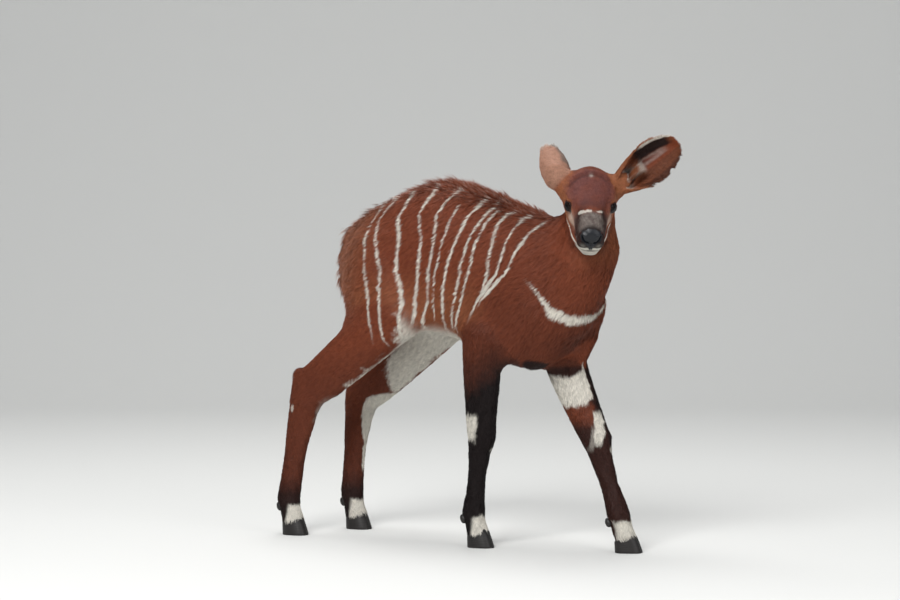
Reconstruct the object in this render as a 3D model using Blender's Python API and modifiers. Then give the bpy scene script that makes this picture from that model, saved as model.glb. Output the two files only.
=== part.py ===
"""A bongo antelope calf, life size, standing with its head turned to its right.

Metres, +Z up. The calf faces +X and its left side is +Y. The whole body is modelled as
one fleshy form from lofted masses, then parted with thin cuts into the pieces that a
person would name. Hooves, dewclaws and eyes are pieces of their own.
"""

import math
from collections import namedtuple

import bmesh
import bpy
import numpy as np
from mathutils import Matrix, Vector

# ---------------------------------------------------------------- driving sizes
GAP = 0.0003  # clear space between neighbouring pieces
VOXEL = 0.0045  # grid of the merged body
FILLET = 0.012  # radius that fills the creases where masses meet
RING_SIDES = 28
RINGS_PER_SPAN = 4
DOME_TURNS = [math.radians(degrees) for degrees in (30, 58, 80)]  # rings of a rounded end
SKIN_PASSES, TORSO_PASSES, FINE_PASSES = 6, 70, 4  # of smoothing

# Heights count from a level that lies 20 mm above the soles.
SOLE = -0.020
WITHERS = 0.731  # top of the shoulders, coat included
CORONET_SLOPE = 0.30  # the hoof's upper edge rises this much towards the toe
CLEFT = 0.0030  # between the two claws of a foot
CLAW_WIDTH = 0.0225
TRIANGLES = 4850  # of all the flesh
EYE_RADIUS = 0.0150
EYE_PLACE = Vector((0.001, 0.0420, 0.002))  # the left one, in the head's frame
EAR_LENGTH = 0.182
EAR_TIP_ARC = 0.0008
EAR_THICKNESS = 0.0055
EAR_VOXEL = 0.0028  # grid fine enough for the ears' thin walls
EAR_STEPS = 22
EAR_WIDEST = 0.42  # of the length, from the root
EAR_BEND = 0.010  # how far the tip leans away from the opening

# The head's own frame: its origin lies midway between the eyes.
HEAD_PLACE = Vector((0.333, -0.087, 0.732))
HEAD_TURN = math.radians(-53)  # from +X, clockwise seen from above
HEAD_PITCH = math.radians(37)  # nose below the horizontal
HEAD_ROLL = math.radians(-2.5)

LEFT, RIGHT = 1, -1
SIDE_NAME = {LEFT: "left", RIGHT: "right"}

# The left ear is turned forward, open to the front. The right one is laid back.
EAR_ROOT = {LEFT: (-0.052, 0.044, 0.003), RIGHT: (-0.046, -0.070, 0.034)}  # in the head's frame
EAR_TOWARDS = {LEFT: (0.56, 0.61, 0.55), RIGHT: (-0.632, 0.714, 0.30)}
EAR_OPENING = {LEFT: (0.60, -0.80, -0.10), RIGHT: (0.28, 0.21, -0.90)}
EAR_ARC = 0.060  # half the width of the ear's skin, measured round the cup
EAR_CURL = {LEFT: 62, RIGHT: 117}  # half the arc of the cup, in degrees
EAR_BASE_WIDTH = {LEFT: 0.66, RIGHT: 0.82}  # of the greatest width
EAR_START = {LEFT: -0.08, RIGHT: 0.06}  # where its thin skin begins, as a share of its length
EAR_BASE_CURL = {LEFT: 100, RIGHT: 25}  # how much more it curls at the root
EAR_STEM = {LEFT: (0.032, 0.028, 0.021, 0.015), RIGHT: (0.029, 0.024, 0.022, 0.016)}  # radii
EAR_SWEEP = {LEFT: (0, 0, 0), RIGHT: (0.004, 0.029, -0.030)}  # from the root back into the skull
EAR_CUT = {LEFT: 0.040, RIGHT: 0.052}  # from the ear's root to where it parts from the head

# A cut: a place in its plane, the way its normal points, and how far its sheet reaches.
Cut = namedtuple("Cut", "place normal reach")
NAPE_CUT = Cut((-0.040, 0, -0.086), (0.40, 0, 0.917), 0.13)  # in the head's frame
NECK_CUT = Cut((0.205, 0, 0.625), (0.785, 0, 0.62), 0.20)
THIGH_CUT = Cut((-0.045, 0.008, -0.036), (-0.19, 0, -1.0), 0.150)  # from the left stifle
EAR_REACH, ELBOW_REACH, SHANK_REACH, SOLE_REACH = 0.060, 0.060, 0.075, 0.060
ELBOW_SHARE, KNEE_SHARE = 0.16, 0.10  # of the bone's length, from the joint to the cut

TOE, HEEL = 0.0250, 0.0215  # reach of a claw's upper edge from the coronet's middle
TOE_FLARE, HEEL_FLARE, SIDE_FLARE = 0.011, 0.002, 0.0025  # how much more the sole reaches
SOLE_SHIFT = 0.004
HOCK_POINT = np.array((-0.022, 0, 0.022))  # from the hock's middle
HOCK_POINT_RADII = (0.018, 0.017, 0.021)
DEWCLAW_PLACE = (-0.0200, 0.0130, -0.0160)  # back, aside and down from the fetlock
DEWCLAW_RADII = (0.0075, 0.0062, 0.0110)
DEWCLAW_LEAN = math.radians(-28)
MASS_SEGMENTS, EYE_SEGMENTS, DEWCLAW_SEGMENTS = 24, 14, 8  # round a ball

FORE = {
    RIGHT: dict(
        turn=0, shoulder=(0.175, -0.066, 0.500), elbow=(0.039, -0.070, 0.400),
        knee=(0.020, -0.052, 0.222), fetlock=(-0.008, -0.042, 0.057), coronet=(0.004, -0.040, 0.008),
    ),
    LEFT: dict(
        turn=14, shoulder=(0.232, 0.068, 0.512), elbow=(0.152, 0.072, 0.395),
        knee=(0.240, 0.070, 0.218), fetlock=(0.297, 0.072, 0.060), coronet=(0.314, 0.074, 0.009),
    ),
}
HIND = {
    RIGHT: dict(
        hip=(-0.245, -0.060, 0.640), stifle=(-0.185, -0.088, 0.465), hock=(-0.430, -0.098, 0.318),
        fetlock=(-0.480, -0.100, 0.058), coronet=(-0.469, -0.100, 0.009),
    ),
    LEFT: dict(
        hip=(-0.240, 0.060, 0.640), stifle=(-0.190, 0.084, 0.445), hock=(-0.418, 0.080, 0.296),
        fetlock=(-0.438, 0.076, 0.056), coronet=(-0.426, 0.075, 0.008),
    ),
}

# A ring of a loft: its middle, half width across, and its reach to the two other sides,
# which are up and down on the trunk, and forward and back on a leg.
Ring = namedtuple("Ring", "x y z across fore aft")


# ---------------------------------------------------------------- modelling tools
def spline_rows(rows, per_span):
    """Catmull-Rom spline through rows of numbers, spaced by the distance between them."""
    rows = np.array(rows, float)
    first, last = 2 * rows[0] - rows[1], 2 * rows[-1] - rows[-2]
    padded = np.vstack([first, rows, last])
    t = np.linspace(0, 1, per_span, endpoint=False)[:, None]
    spans = []
    for a, b, c, d in zip(padded, padded[1:], padded[2:], padded[3:]):
        spans.append(0.5 * (2 * b + (c - a) * t + (2 * a - 5 * b + 4 * c - d) * t**2
                            + (3 * b - a - 3 * c + d) * t**3))
    return np.vstack(spans + [rows[-1:]])


def unit(vectors):
    return vectors / np.linalg.norm(vectors, axis=-1, keepdims=True)


def loft(name, rings, start_dome, end_dome, side=None, squareness=2.0, sides=RING_SIDES):
    """Closed mesh through the rings, with half-ellipsoid ends of the given lengths.

    side is the direction that a ring's half width is measured along. With none it is
    the horizontal direction to the left of the path.
    """
    rows = spline_rows([list(ring) for ring in rings], RINGS_PER_SPAN)
    centres, reach = rows[:, :3], rows[:, 3:]
    along = unit(np.gradient(centres, axis=0))
    if side is None:
        across = unit(np.cross((0.0, 0.0, 1.0), along))
    else:
        across = unit(np.array(side, float) - along * (along @ np.array(side, float))[:, None])
    forward = np.cross(along, across)
    count = len(DOME_TURNS)
    before = [centres[0] - start_dome * math.sin(turn) * along[0] for turn in DOME_TURNS]
    after = [centres[-1] + end_dome * math.sin(turn) * along[-1] for turn in DOME_TURNS]
    centres = np.vstack((before[::-1], centres, after))
    shrink = np.array([math.cos(turn) for turn in DOME_TURNS])[:, None]
    reach = np.vstack((reach[0] * shrink[::-1], reach, reach[-1] * shrink))
    across, forward = (np.pad(v, ((count, count), (0, 0)), mode="edge") for v in (across, forward))
    angle = np.linspace(0, 2 * math.pi, sides, endpoint=False)
    cosine, sine = np.cos(angle), np.sin(angle)
    power = 2 / squareness
    wide = np.sign(cosine) * np.abs(cosine) ** power
    tall = np.sign(sine) * np.abs(sine) ** power
    up = np.where(sine[None] >= 0, reach[:, 1:2], reach[:, 2:3]) * tall
    points = (centres[:, None] + across[:, None] * (reach[:, :1] * wide)[..., None]
              + forward[:, None] * up[..., None])
    bm = bmesh.new()
    loops = [[bm.verts.new(point) for point in ring] for ring in points]
    for low, high in zip(loops, loops[1:]):
        for i in range(sides):
            j = (i + 1) % sides
            bm.faces.new((low[i], low[j], high[j], high[i]))
    bm.faces.new(loops[0][::-1])
    bm.faces.new(loops[-1])
    bmesh.ops.recalc_face_normals(bm, faces=bm.faces)
    mesh = bpy.data.meshes.new(name)
    bm.to_mesh(mesh)
    bm.free()
    return new_object(name, mesh)


def new_object(name, mesh):
    obj = bpy.data.objects.new(name, mesh)
    bpy.context.scene.collection.objects.link(obj)
    return obj


def ball_mesh(place, radii, segments, turn=None):
    """A ball of the given radii, turned about its middle before it goes to its place."""
    bm = bmesh.new()
    bmesh.ops.create_uvsphere(bm, u_segments=segments, v_segments=segments * 2 // 3, radius=1)
    bmesh.ops.scale(bm, vec=radii, verts=bm.verts)
    if turn is not None:
        bmesh.ops.transform(bm, matrix=turn, verts=bm.verts)
    bmesh.ops.translate(bm, vec=place, verts=bm.verts)
    mesh = bpy.data.meshes.new("ball")
    bm.to_mesh(mesh)
    bm.free()
    return mesh


def applied(obj):
    """The object's evaluated mesh, in world space, as a mesh of its own. The object goes."""
    bpy.context.view_layer.update()
    graph = bpy.context.evaluated_depsgraph_get()
    mesh = bpy.data.meshes.new_from_object(obj.evaluated_get(graph))
    mesh.transform(obj.matrix_world)
    bpy.data.objects.remove(obj)
    return mesh


def joined(name, objects):
    """One object holding the evaluated meshes of all these objects."""
    bm = bmesh.new()
    for obj in objects:
        bm.from_mesh(applied(obj))
    mesh = bpy.data.meshes.new(name)
    bm.to_mesh(mesh)
    bm.free()
    return new_object(name, mesh)


def add_modifier(obj, kind, **values):
    modifier = obj.modifiers.new(kind.title(), kind)
    for key, value in values.items():
        setattr(modifier, key, value)
    return modifier


# ---------------------------------------------------------------- masses of the body
def trunk():
    rings = []
    # where along the body, top, widest height, underside, half width
    for x, top, middle, bottom, across in (
        (-0.364, 0.692, 0.615, 0.535, 0.056),
        (-0.330, 0.722, 0.605, 0.492, 0.078),
        (-0.250, 0.757, 0.590, 0.458, 0.098),
        (-0.150, 0.786, 0.580, 0.444, 0.106),
        (-0.080, 0.784, 0.575, 0.428, 0.108),
        (-0.020, 0.766, 0.570, 0.412, 0.107),
        (0.050, 0.743, 0.560, 0.392, 0.104),
        (0.100, WITHERS, 0.555, 0.374, 0.098),
        (0.160, 0.712, 0.550, 0.364, 0.092),
        (0.215, 0.676, 0.540, 0.390, 0.080),
        (0.255, 0.630, 0.535, 0.440, 0.060),
    ):
        rings.append(Ring(x, 0, middle, across, top - middle, middle - bottom))
    return loft("trunk_mass", rings, 0.024, 0.030, side=(0, 1, 0))


def neck():
    rings = (
        Ring(0.140, 0.004, 0.545, 0.088, 0.145, 0.118),
        Ring(0.204, 0.006, 0.586, 0.085, 0.122, 0.116),
        Ring(0.248, 0.002, 0.634, 0.069, 0.096, 0.096),
        Ring(0.268, 0.002, 0.688, 0.056, 0.072, 0.074),
        Ring(0.286, -0.008, 0.742, 0.049, 0.052, 0.054),
    )
    return loft("neck_mass", rings, 0.040, 0.030)


def head_matrix():
    """From the head's own frame, nose along +X, to the calf's."""
    turn = Matrix.Rotation(HEAD_TURN, 4, "Z")
    pitch = Matrix.Rotation(HEAD_PITCH, 4, "Y")
    roll = Matrix.Rotation(HEAD_ROLL, 4, "X")
    return Matrix.Translation(HEAD_PLACE) @ turn @ pitch @ roll


def head():
    """Skull, jaw, brows, cheeks and lips, still as separate masses."""
    skull = []
    # along the head, top, widest height, underside, half width
    for x, top, middle, bottom, across in (
        (-0.086, 0.034, 0.002, -0.034, 0.034),
        (-0.062, 0.051, 0.004, -0.046, 0.047),
        (-0.028, 0.054, 0.004, -0.052, 0.054),
        (0.002, 0.047, 0.000, -0.056, 0.051),
        (0.030, 0.036, -0.008, -0.056, 0.041),
        (0.056, 0.026, -0.014, -0.052, 0.034),
        (0.078, 0.017, -0.018, -0.048, 0.031),
        (0.094, 0.009, -0.019, -0.043, 0.028),
    ):
        skull.append(Ring(x, 0, middle, across, top - middle, middle - bottom))
    jaw = []
    for x, top, bottom, across in (
        (-0.052, -0.026, -0.080, 0.043),
        (-0.025, -0.026, -0.085, 0.049),
        (0.005, -0.028, -0.083, 0.047),
        (0.035, -0.030, -0.078, 0.039),
        (0.062, -0.034, -0.073, 0.028),
        (0.084, -0.038, -0.068, 0.019),
    ):
        jaw.append(Ring(x, 0, (top + bottom) / 2, across, (top - bottom) / 2, (top - bottom) / 2))
    masses = [
        loft("skull_mass", skull, 0.018, 0.010, side=(0, 1, 0), squareness=2.3),
        loft("jaw_mass", jaw, 0.020, 0.009, side=(0, 1, 0), squareness=2.8),
        new_object("poll_mass", ball_mesh((-0.057, 0, 0.030), (0.026, 0.030, 0.025), MASS_SEGMENTS)),
    ]
    for side in (LEFT, RIGHT):
        name = SIDE_NAME[side]
        for mass, (x, y, z), radii in (
            ("brow", (-0.004, 0.037, 0.012), (0.028, 0.019, 0.020)),
            ("cheek", (-0.022, 0.026, -0.036), (0.050, 0.027, 0.036)),
            ("lip", (0.082, 0.014, -0.030), (0.018, 0.018, 0.017)),
        ):
            ball = ball_mesh((x, side * y, z), radii, MASS_SEGMENTS)
            masses.append(new_object(f"{mass}_{name}", ball))
    for mass in masses:
        mass.matrix_world = head_matrix()
    return masses


def fore_limb(side, turn, shoulder, elbow, knee, fetlock, coronet):
    """Shoulder blade, upper arm and leg. Each place is (x, y, z), turn is the toes' in degrees."""
    name = SIDE_NAME[side]
    top = (shoulder[0] - 0.095, side * 0.045, 0.655)
    blade = (
        Ring(*top, 0.030, 0.040, 0.045),
        Ring(*(np.add(top, shoulder) / 2), 0.036, 0.056, 0.062),
        Ring(*shoulder, 0.032, 0.042, 0.050),
    )
    arm = (
        Ring(*shoulder, 0.032, 0.040, 0.050),
        Ring(*(np.add(shoulder, elbow) / 2), 0.036, 0.054, 0.058),
        Ring(*elbow, 0.034, 0.048, 0.050),
    )
    below = np.subtract(knee, elbow)
    cannon = np.subtract(fetlock, knee)
    leg = (
        Ring(*(elbow - below * 0.35), 0.036, 0.053, 0.057),
        Ring(*elbow, 0.036, 0.050, 0.053),
        Ring(*(elbow + below * 0.45), 0.032, 0.043, 0.045),
        Ring(*(elbow + below * 0.80), 0.029, 0.039, 0.038),
        Ring(*knee, 0.029, 0.039, 0.033),
        Ring(*(knee + cannon * 0.22), 0.0235, 0.0285, 0.0265),
        Ring(*(knee + cannon * 0.55), 0.0200, 0.0235, 0.0210),
        Ring(*(knee + cannon * 0.82), 0.0220, 0.0265, 0.0230),
        Ring(*fetlock, 0.0250, 0.0290, 0.0265),
        Ring(*(np.add(fetlock, coronet) / 2), 0.0235, 0.0255, 0.0225),
        Ring(*coronet, 0.0235, 0.0270, 0.0220),
        Ring(*(coronet + np.array((0.006, 0, -0.020))), 0.0235, 0.0270, 0.0220),
    )
    out = (0, 1, 0)
    toes_out = (-math.sin(math.radians(turn)), math.cos(math.radians(turn)), 0)
    return [
        loft(f"blade_{name}", blade, 0.03, 0.03, side=out),
        loft(f"arm_{name}", arm, 0.03, 0.03, side=out),
        loft(f"foreleg_{name}", leg, 0.02, 0.012, side=toes_out),
    ]


def hind_limb(side, hip, stifle, hock, fetlock, coronet):
    """Thigh, gaskin and cannon. Each place is (x, y, z)."""
    name = SIDE_NAME[side]
    thigh = (
        Ring(*hip, 0.044, 0.075, 0.085),
        Ring(*(np.add(hip, stifle) / 2 + (-0.020, 0, 0)), 0.052, 0.080, 0.114),
        Ring(*stifle, 0.045, 0.050, 0.132),
    )
    shin = np.subtract(hock, stifle)
    gaskin = (
        Ring(*(stifle - shin * 0.15), 0.044, 0.048, 0.082),
        Ring(*(stifle + shin * 0.15), 0.043, 0.053, 0.080),
        Ring(*(stifle + shin * 0.50), 0.036, 0.060, 0.062),
        Ring(*(stifle + shin * 0.82), 0.029, 0.064, 0.046),
        Ring(*hock, 0.026, 0.058, 0.037),
    )
    cannon = np.subtract(fetlock, hock)
    leg = (
        Ring(*(hock - cannon * 0.08), 0.023, 0.036, 0.038),
        Ring(*(hock + cannon * 0.08), 0.0260, 0.055, 0.042),
        Ring(*(hock + cannon * 0.26), 0.0235, 0.0400, 0.0380),
        Ring(*(hock + cannon * 0.55), 0.0210, 0.0260, 0.0330),
        Ring(*(hock + cannon * 0.82), 0.0225, 0.0255, 0.0305),
        Ring(*fetlock, 0.0250, 0.0275, 0.0305),
        Ring(*(np.add(fetlock, coronet) / 2), 0.0235, 0.0250, 0.0240),
        Ring(*coronet, 0.0240, 0.0270, 0.0225),
        Ring(*(coronet + np.array((0.006, 0, -0.020))), 0.0240, 0.0270, 0.0225),
    )
    out = (0, 1, 0)
    return [
        loft(f"thigh_{name}", thigh, 0.045, 0.04, side=out),
        loft(f"gaskin_{name}", gaskin, 0.03, 0.02, side=out),
        loft(f"hindleg_{name}", leg, 0.02, 0.012, side=out),
        new_object(f"hock_point_{name}", ball_mesh(hock + HOCK_POINT, HOCK_POINT_RADII, MASS_SEGMENTS)),
    ]


def tail(swell=0.0):
    """The tail, hanging against the rump. swell makes it fatter, to cut its bed."""
    rings = []
    for x, z, across, thick in (
        (-0.345, 0.680, 0.020, 0.017),
        (-0.376, 0.660, 0.020, 0.017),
        (-0.394, 0.620, 0.018, 0.015),
        (-0.400, 0.580, 0.017, 0.014),
        (-0.400, 0.545, 0.012, 0.010),
    ):
        rings.append(Ring(x, 0, z, across + swell, thick + swell, thick + swell))
    return loft("tail", rings, 0.01 + swell, 0.018 + swell, side=(0, 1, 0), sides=8)


def ear(side, root, towards, opening):
    """A cupped leaf of skin. towards runs to its tip and opening is where the cup faces."""
    length = unit(np.array(towards, float))
    face = np.array(opening, float)
    face = unit(face - length * (face @ length))
    width = np.cross(length, face)
    u = np.linspace(EAR_START[side], 1, EAR_STEPS)[:, None]
    v = np.linspace(-1, 1, EAR_STEPS)[None]
    grown = np.clip(u, 0, 1)
    tip = np.sqrt(np.clip(1 - ((grown - EAR_WIDEST) / (1 - EAR_WIDEST)) ** 2, 0, 1))
    widening = EAR_BASE_WIDTH[side] + (1 - EAR_BASE_WIDTH[side]) * np.sin(grown / EAR_WIDEST * math.pi / 2)
    arc = EAR_ARC * np.where(grown < EAR_WIDEST, widening, tip**0.9) + EAR_TIP_ARC
    curl = math.radians(EAR_CURL[side]) + math.radians(EAR_BASE_CURL[side]) * (1 - grown) ** 2.4
    radius = arc / curl
    angle = v * curl
    points = (np.array(root, float) + length * (u * EAR_LENGTH)[..., None]
              + width * (radius * np.sin(angle))[..., None]
              + face * (radius * (0.5 - np.cos(angle)) - EAR_BEND * grown**2)[..., None])
    bm = bmesh.new()
    grid = [[bm.verts.new(point) for point in row] for row in points]
    for low, high in zip(grid, grid[1:]):
        for i in range(EAR_STEPS - 1):
            bm.faces.new((low[i], low[i + 1], high[i + 1], high[i]))
    mesh = bpy.data.meshes.new("ear")
    bm.to_mesh(mesh)
    bm.free()
    obj = new_object(f"ear_mass_{SIDE_NAME[side]}", mesh)
    add_modifier(obj, "SOLIDIFY", thickness=EAR_THICKNESS, offset=0)
    return obj


# ---------------------------------------------------------------- flesh and its parting
def weigh(obj, name, weight):
    """Vertex group whose weights are a function of the vertices' places."""
    group = obj.vertex_groups.new(name=name)
    places = np.empty(len(obj.data.vertices) * 3)
    obj.data.vertices.foreach_get("co", places)
    weights = np.round(np.clip(weight(places.reshape(-1, 3)), 0, 1), 1)
    for step in np.unique(weights):
        group.add(np.flatnonzero(weights == step).tolist(), float(step), "REPLACE")
    return group.name


def ramp(values, low, high):
    """0 below low, 1 above high and smooth between."""
    t = np.clip((values - low) / (high - low), 0, 1)
    return t * t * (3 - 2 * t)


def torso_weight(places):
    """1 on the barrel, shoulders and haunches, 0 on legs and head."""
    x, z = places[:, 0], places[:, 2]
    return ramp(z, 0.38, 0.45) * (1 - ramp(x, 0.20, 0.27)) * (1 - ramp(z, 0.74, 0.80) * ramp(x, 0.15, 0.20))


def coarse_weight(places):
    """How freely triangles may grow: most on the barrel and least on the head."""
    head = np.linalg.norm(places - np.array(HEAD_PLACE), axis=1)
    return 0.62 + 0.23 * ramp(head, 0.10, 0.15)


def remade(obj, name):
    """The object with its modifiers applied."""
    mesh = applied(obj)
    return new_object(name, mesh)


def ear_stem(side):
    """The thick root of an ear, round and solid where it leaves the head."""
    root = np.array(head_matrix() @ Vector(EAR_ROOT[side]))
    length = unit(np.array(EAR_TOWARDS[side]))
    sweep = np.array(head_matrix().to_3x3() @ Vector(EAR_SWEEP[side]))
    steps, shares = (-0.014, 0.010, 0.030, 0.044), (1, 0.28, -0.10, -0.20)
    rings = [Ring(*(root + length * step + sweep * share), radius, radius, radius * 0.95)
             for step, share, radius in zip(steps, shares, EAR_STEM[side])]
    return loft(f"ear_stem_{SIDE_NAME[side]}", rings, 0.010, 0.008)


def flesh():
    """All soft masses but the tail, merged into one skin."""
    masses = [trunk(), neck(), *head(), ear_stem(LEFT), ear_stem(RIGHT)]
    for side in (LEFT, RIGHT):
        masses += fore_limb(side, **FORE[side])
        masses += hind_limb(side, **HIND[side])
    body = joined("body", masses)
    add_modifier(body, "REMESH", mode="VOXEL", voxel_size=VOXEL)
    add_modifier(body, "DISPLACE", strength=FILLET, mid_level=0)
    add_modifier(body, "REMESH", mode="VOXEL", voxel_size=VOXEL)
    add_modifier(body, "DISPLACE", strength=-FILLET, mid_level=0)
    add_modifier(body, "SMOOTH", factor=0.5, iterations=SKIN_PASSES)
    body = remade(body, "body")
    torso = weigh(body, "torso", torso_weight)
    add_modifier(body, "SMOOTH", factor=0.8, iterations=TORSO_PASSES, vertex_group=torso)
    view = head_matrix()
    ears = [ear(side, view @ Vector(EAR_ROOT[side]), EAR_TOWARDS[side], EAR_OPENING[side])
            for side in (LEFT, RIGHT)]
    whole = joined("whole", [body, *ears])
    add_modifier(whole, "REMESH", mode="VOXEL", voxel_size=EAR_VOXEL)
    add_modifier(whole, "SMOOTH", factor=0.5, iterations=FINE_PASSES)
    whole = remade(whole, "whole")
    coarse = weigh(whole, "coarse", coarse_weight)
    count = 2 * len(whole.data.vertices)
    add_modifier(whole, "DECIMATE", ratio=TRIANGLES / count, vertex_group=coarse, vertex_group_factor=1.0)
    return remade(whole, "whole")


def slab(cut):
    """A square sheet as thick as the gap, lying in the cut's plane."""
    bm = bmesh.new()
    bmesh.ops.create_cube(bm, size=1)
    bmesh.ops.scale(bm, vec=(cut.reach * 2, cut.reach * 2, GAP), verts=bm.verts)
    turn = Vector(cut.normal).to_track_quat("Z", "X").to_matrix().to_4x4()
    bmesh.ops.transform(bm, matrix=Matrix.Translation(cut.place) @ turn, verts=bm.verts)
    mesh = bpy.data.meshes.new("cut")
    bm.to_mesh(mesh)
    bm.free()
    return mesh


def without(obj, cutter_mesh):
    """The object with the cutter's space taken out of it."""
    cutter = new_object("cutter", cutter_mesh)
    cutter.hide_render = True
    cutter.display_type = "WIRE"
    add_modifier(obj, "BOOLEAN", operation="DIFFERENCE", solver="EXACT", object=cutter)
    cut = remade(obj, obj.name)
    bpy.data.objects.remove(cutter)
    return cut


def islands(obj):
    """One mesh for each connected piece of the object. The object goes."""
    bm = bmesh.new()
    bm.from_mesh(applied(obj))
    bmesh.ops.dissolve_degenerate(bm, dist=1e-6, edges=bm.edges)
    bm.verts.ensure_lookup_table()
    unseen, pieces = set(bm.verts), []
    while unseen:
        edge_of_search, found = [unseen.pop()], []
        while edge_of_search:
            vert = edge_of_search.pop()
            found.append(vert)
            for edge in vert.link_edges:
                other = edge.other_vert(vert)
                if other in unseen:
                    unseen.remove(other)
                    edge_of_search.append(other)
        pieces.append(found)
    meshes = []
    for found in pieces:
        keep = set(found)
        piece = bm.copy()
        piece.verts.ensure_lookup_table()
        kept = {vert.index for vert in keep}
        bmesh.ops.delete(piece, geom=[v for v in piece.verts if v.index not in kept], context="VERTS")
        mesh = bpy.data.meshes.new("piece")
        piece.to_mesh(mesh)
        piece.free()
        meshes.append(mesh)
    bm.free()
    return meshes


def side_of_cut(mesh, cut):
    """Positive for the piece that lies on the normal's side of a cut, by its own cut face."""
    places = np.empty(len(mesh.vertices) * 3)
    mesh.vertices.foreach_get("co", places)
    height = (places.reshape(-1, 3) - np.array(cut.place)) @ np.array(cut.normal)
    return height[np.abs(height) < GAP].mean()


def part_off(body, name, cut):
    """The body parted in two. The piece on the side of the cut's normal gets the name."""
    meshes = islands(without(body, slab(cut)))
    if len(meshes) != 2:
        raise ValueError(f"cutting off {name} left {len(meshes)} pieces")
    rest, piece = sorted(meshes, key=lambda mesh: side_of_cut(mesh, cut))
    return new_object("body", rest), new_object(name, piece)


def parted(body):
    """The flesh divided into named pieces."""
    view = head_matrix()
    pieces = {}
    for side in (LEFT, RIGHT):
        towards = unit(np.array(EAR_TOWARDS[side]))
        root = np.array(view @ Vector(EAR_ROOT[side])) + towards * EAR_CUT[side]
        name = f"ear_{SIDE_NAME[side]}"
        body, pieces[name] = part_off(body, name, Cut(root, towards, EAR_REACH))
    nape = Cut(view @ Vector(NAPE_CUT.place), view.to_3x3() @ Vector(NAPE_CUT.normal), NAPE_CUT.reach)
    body, pieces["head"] = part_off(body, "head", nape)
    body, pieces["neck"] = part_off(body, "neck", NECK_CUT)
    for side in (LEFT, RIGHT):
        for end, limb in (("front", FORE[side]), ("hind", HIND[side])):
            high, joint = ("elbow", "knee") if end == "front" else ("stifle", "hock")
            top, bend = np.array(limb[high]), np.array(limb[joint])
            foot = np.array(limb["fetlock"])
            if end == "front":
                upper_cut = Cut(top + (bend - top) * ELBOW_SHARE, unit(bend - top), ELBOW_REACH)
                lower_cut = Cut(bend + (foot - bend) * KNEE_SHARE, unit(foot - bend), SHANK_REACH)
            else:
                stifle_cut = top + np.multiply(THIGH_CUT.place, (1, side, 1))
                upper_cut = Cut(stifle_cut, unit(np.array(THIGH_CUT.normal)), THIGH_CUT.reach)
                lower_cut = Cut(bend + (top - bend) * KNEE_SHARE, unit(bend - top), SHANK_REACH)
            name = f"leg_{end}_{SIDE_NAME[side]}"
            body, leg = part_off(body, name, upper_cut)
            leg, lower = part_off(leg, name, lower_cut)
            lower, sole = part_off(lower, name, Cut(limb["coronet"], coronet_normal(limb), SOLE_REACH))
            bpy.data.objects.remove(sole)
            leg.name = f"{name}_upper"
            lower.name = f"{name}_lower"
            pieces[leg.name], pieces[lower.name] = leg, lower
    body.name = "trunk"
    pieces["trunk"] = body
    return pieces


# ---------------------------------------------------------------- feet, eyes
def heading(limb):
    turn = math.radians(limb.get("turn", 0))
    return np.array((math.cos(turn), math.sin(turn), 0))


def coronet_normal(limb):
    """Down through the coronet, whose front is the higher."""
    return unit(np.array((0, 0, -1.0)) + CORONET_SLOPE * heading(limb))


def claw(name, limb, outer):
    """Half of a cloven hoof. outer is the side that its bowed wall faces, LEFT or RIGHT."""
    forward = heading(limb)
    across = np.array((-forward[1], forward[0], 0)) * outer
    coronet = np.array(limb["coronet"])
    angle = np.linspace(0, math.pi, 13)
    levels = np.linspace(0, 1, 3)
    loops = []
    for level in levels:
        flare = 1 - level
        front, back = TOE + TOE_FLARE * flare, HEEL + HEEL_FLARE * flare
        width = CLAW_WIDTH + SIDE_FLARE * flare
        along = np.where(np.cos(angle) > 0, front, back) * np.cos(angle)
        bow = CLEFT / 2 + (width - CLEFT / 2) * np.sin(angle) ** 0.8 * (1 - 0.16 * np.cos(angle))
        shift = SOLE_SHIFT * flare
        points = coronet + forward * (along + shift)[:, None] + across * bow[:, None]
        top = coronet[2] + CORONET_SLOPE * (along + shift) - GAP
        points[:, 2] = SOLE + level * (top - SOLE)
        loops.append(points)
    bm = bmesh.new()
    rings = [[bm.verts.new(point) for point in loop] for loop in loops]
    count = len(angle)
    for low, high in zip(rings, rings[1:]):
        for i in range(count):
            j = (i + 1) % count
            bm.faces.new((low[i], low[j], high[j], high[i]))
    bm.faces.new(rings[0][::-1])
    bm.faces.new(rings[-1])
    bmesh.ops.recalc_face_normals(bm, faces=bm.faces)
    mesh = bpy.data.meshes.new(name)
    bm.to_mesh(mesh)
    bm.free()
    return new_object(name, mesh)


def dewclaw_mesh(limb, side, swell=0.0):
    """One of the two small claws behind the fetlock."""
    forward = heading(limb)
    across = np.array((-forward[1], forward[0], 0)) * side
    back, aside, down = DEWCLAW_PLACE
    place = np.array(limb["fetlock"]) + forward * back + across * aside + (0, 0, down)
    radii = [radius + swell for radius in DEWCLAW_RADII]
    return ball_mesh(place, radii, DEWCLAW_SEGMENTS, Matrix.Rotation(DEWCLAW_LEAN, 4, "Y"))


def feet(pieces):
    """Hooves and dewclaws for every leg."""
    for side in (LEFT, RIGHT):
        for end, limb in (("front", FORE[side]), ("hind", HIND[side])):
            name = f"{end}_{SIDE_NAME[side]}"
            lower = pieces[f"leg_{name}_lower"]
            for which, facing in (("inner", -side), ("outer", side)):
                hoof = claw(f"hoof_{name}_{which}", limb, facing)
                pieces[hoof.name] = hoof
                lower = without(lower, dewclaw_mesh(limb, facing, GAP))
                dewclaw = new_object(f"dewclaw_{name}_{which}", dewclaw_mesh(limb, facing))
                pieces[dewclaw.name] = dewclaw
            lower.name = f"leg_{name}_lower"
            pieces[lower.name] = lower


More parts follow.
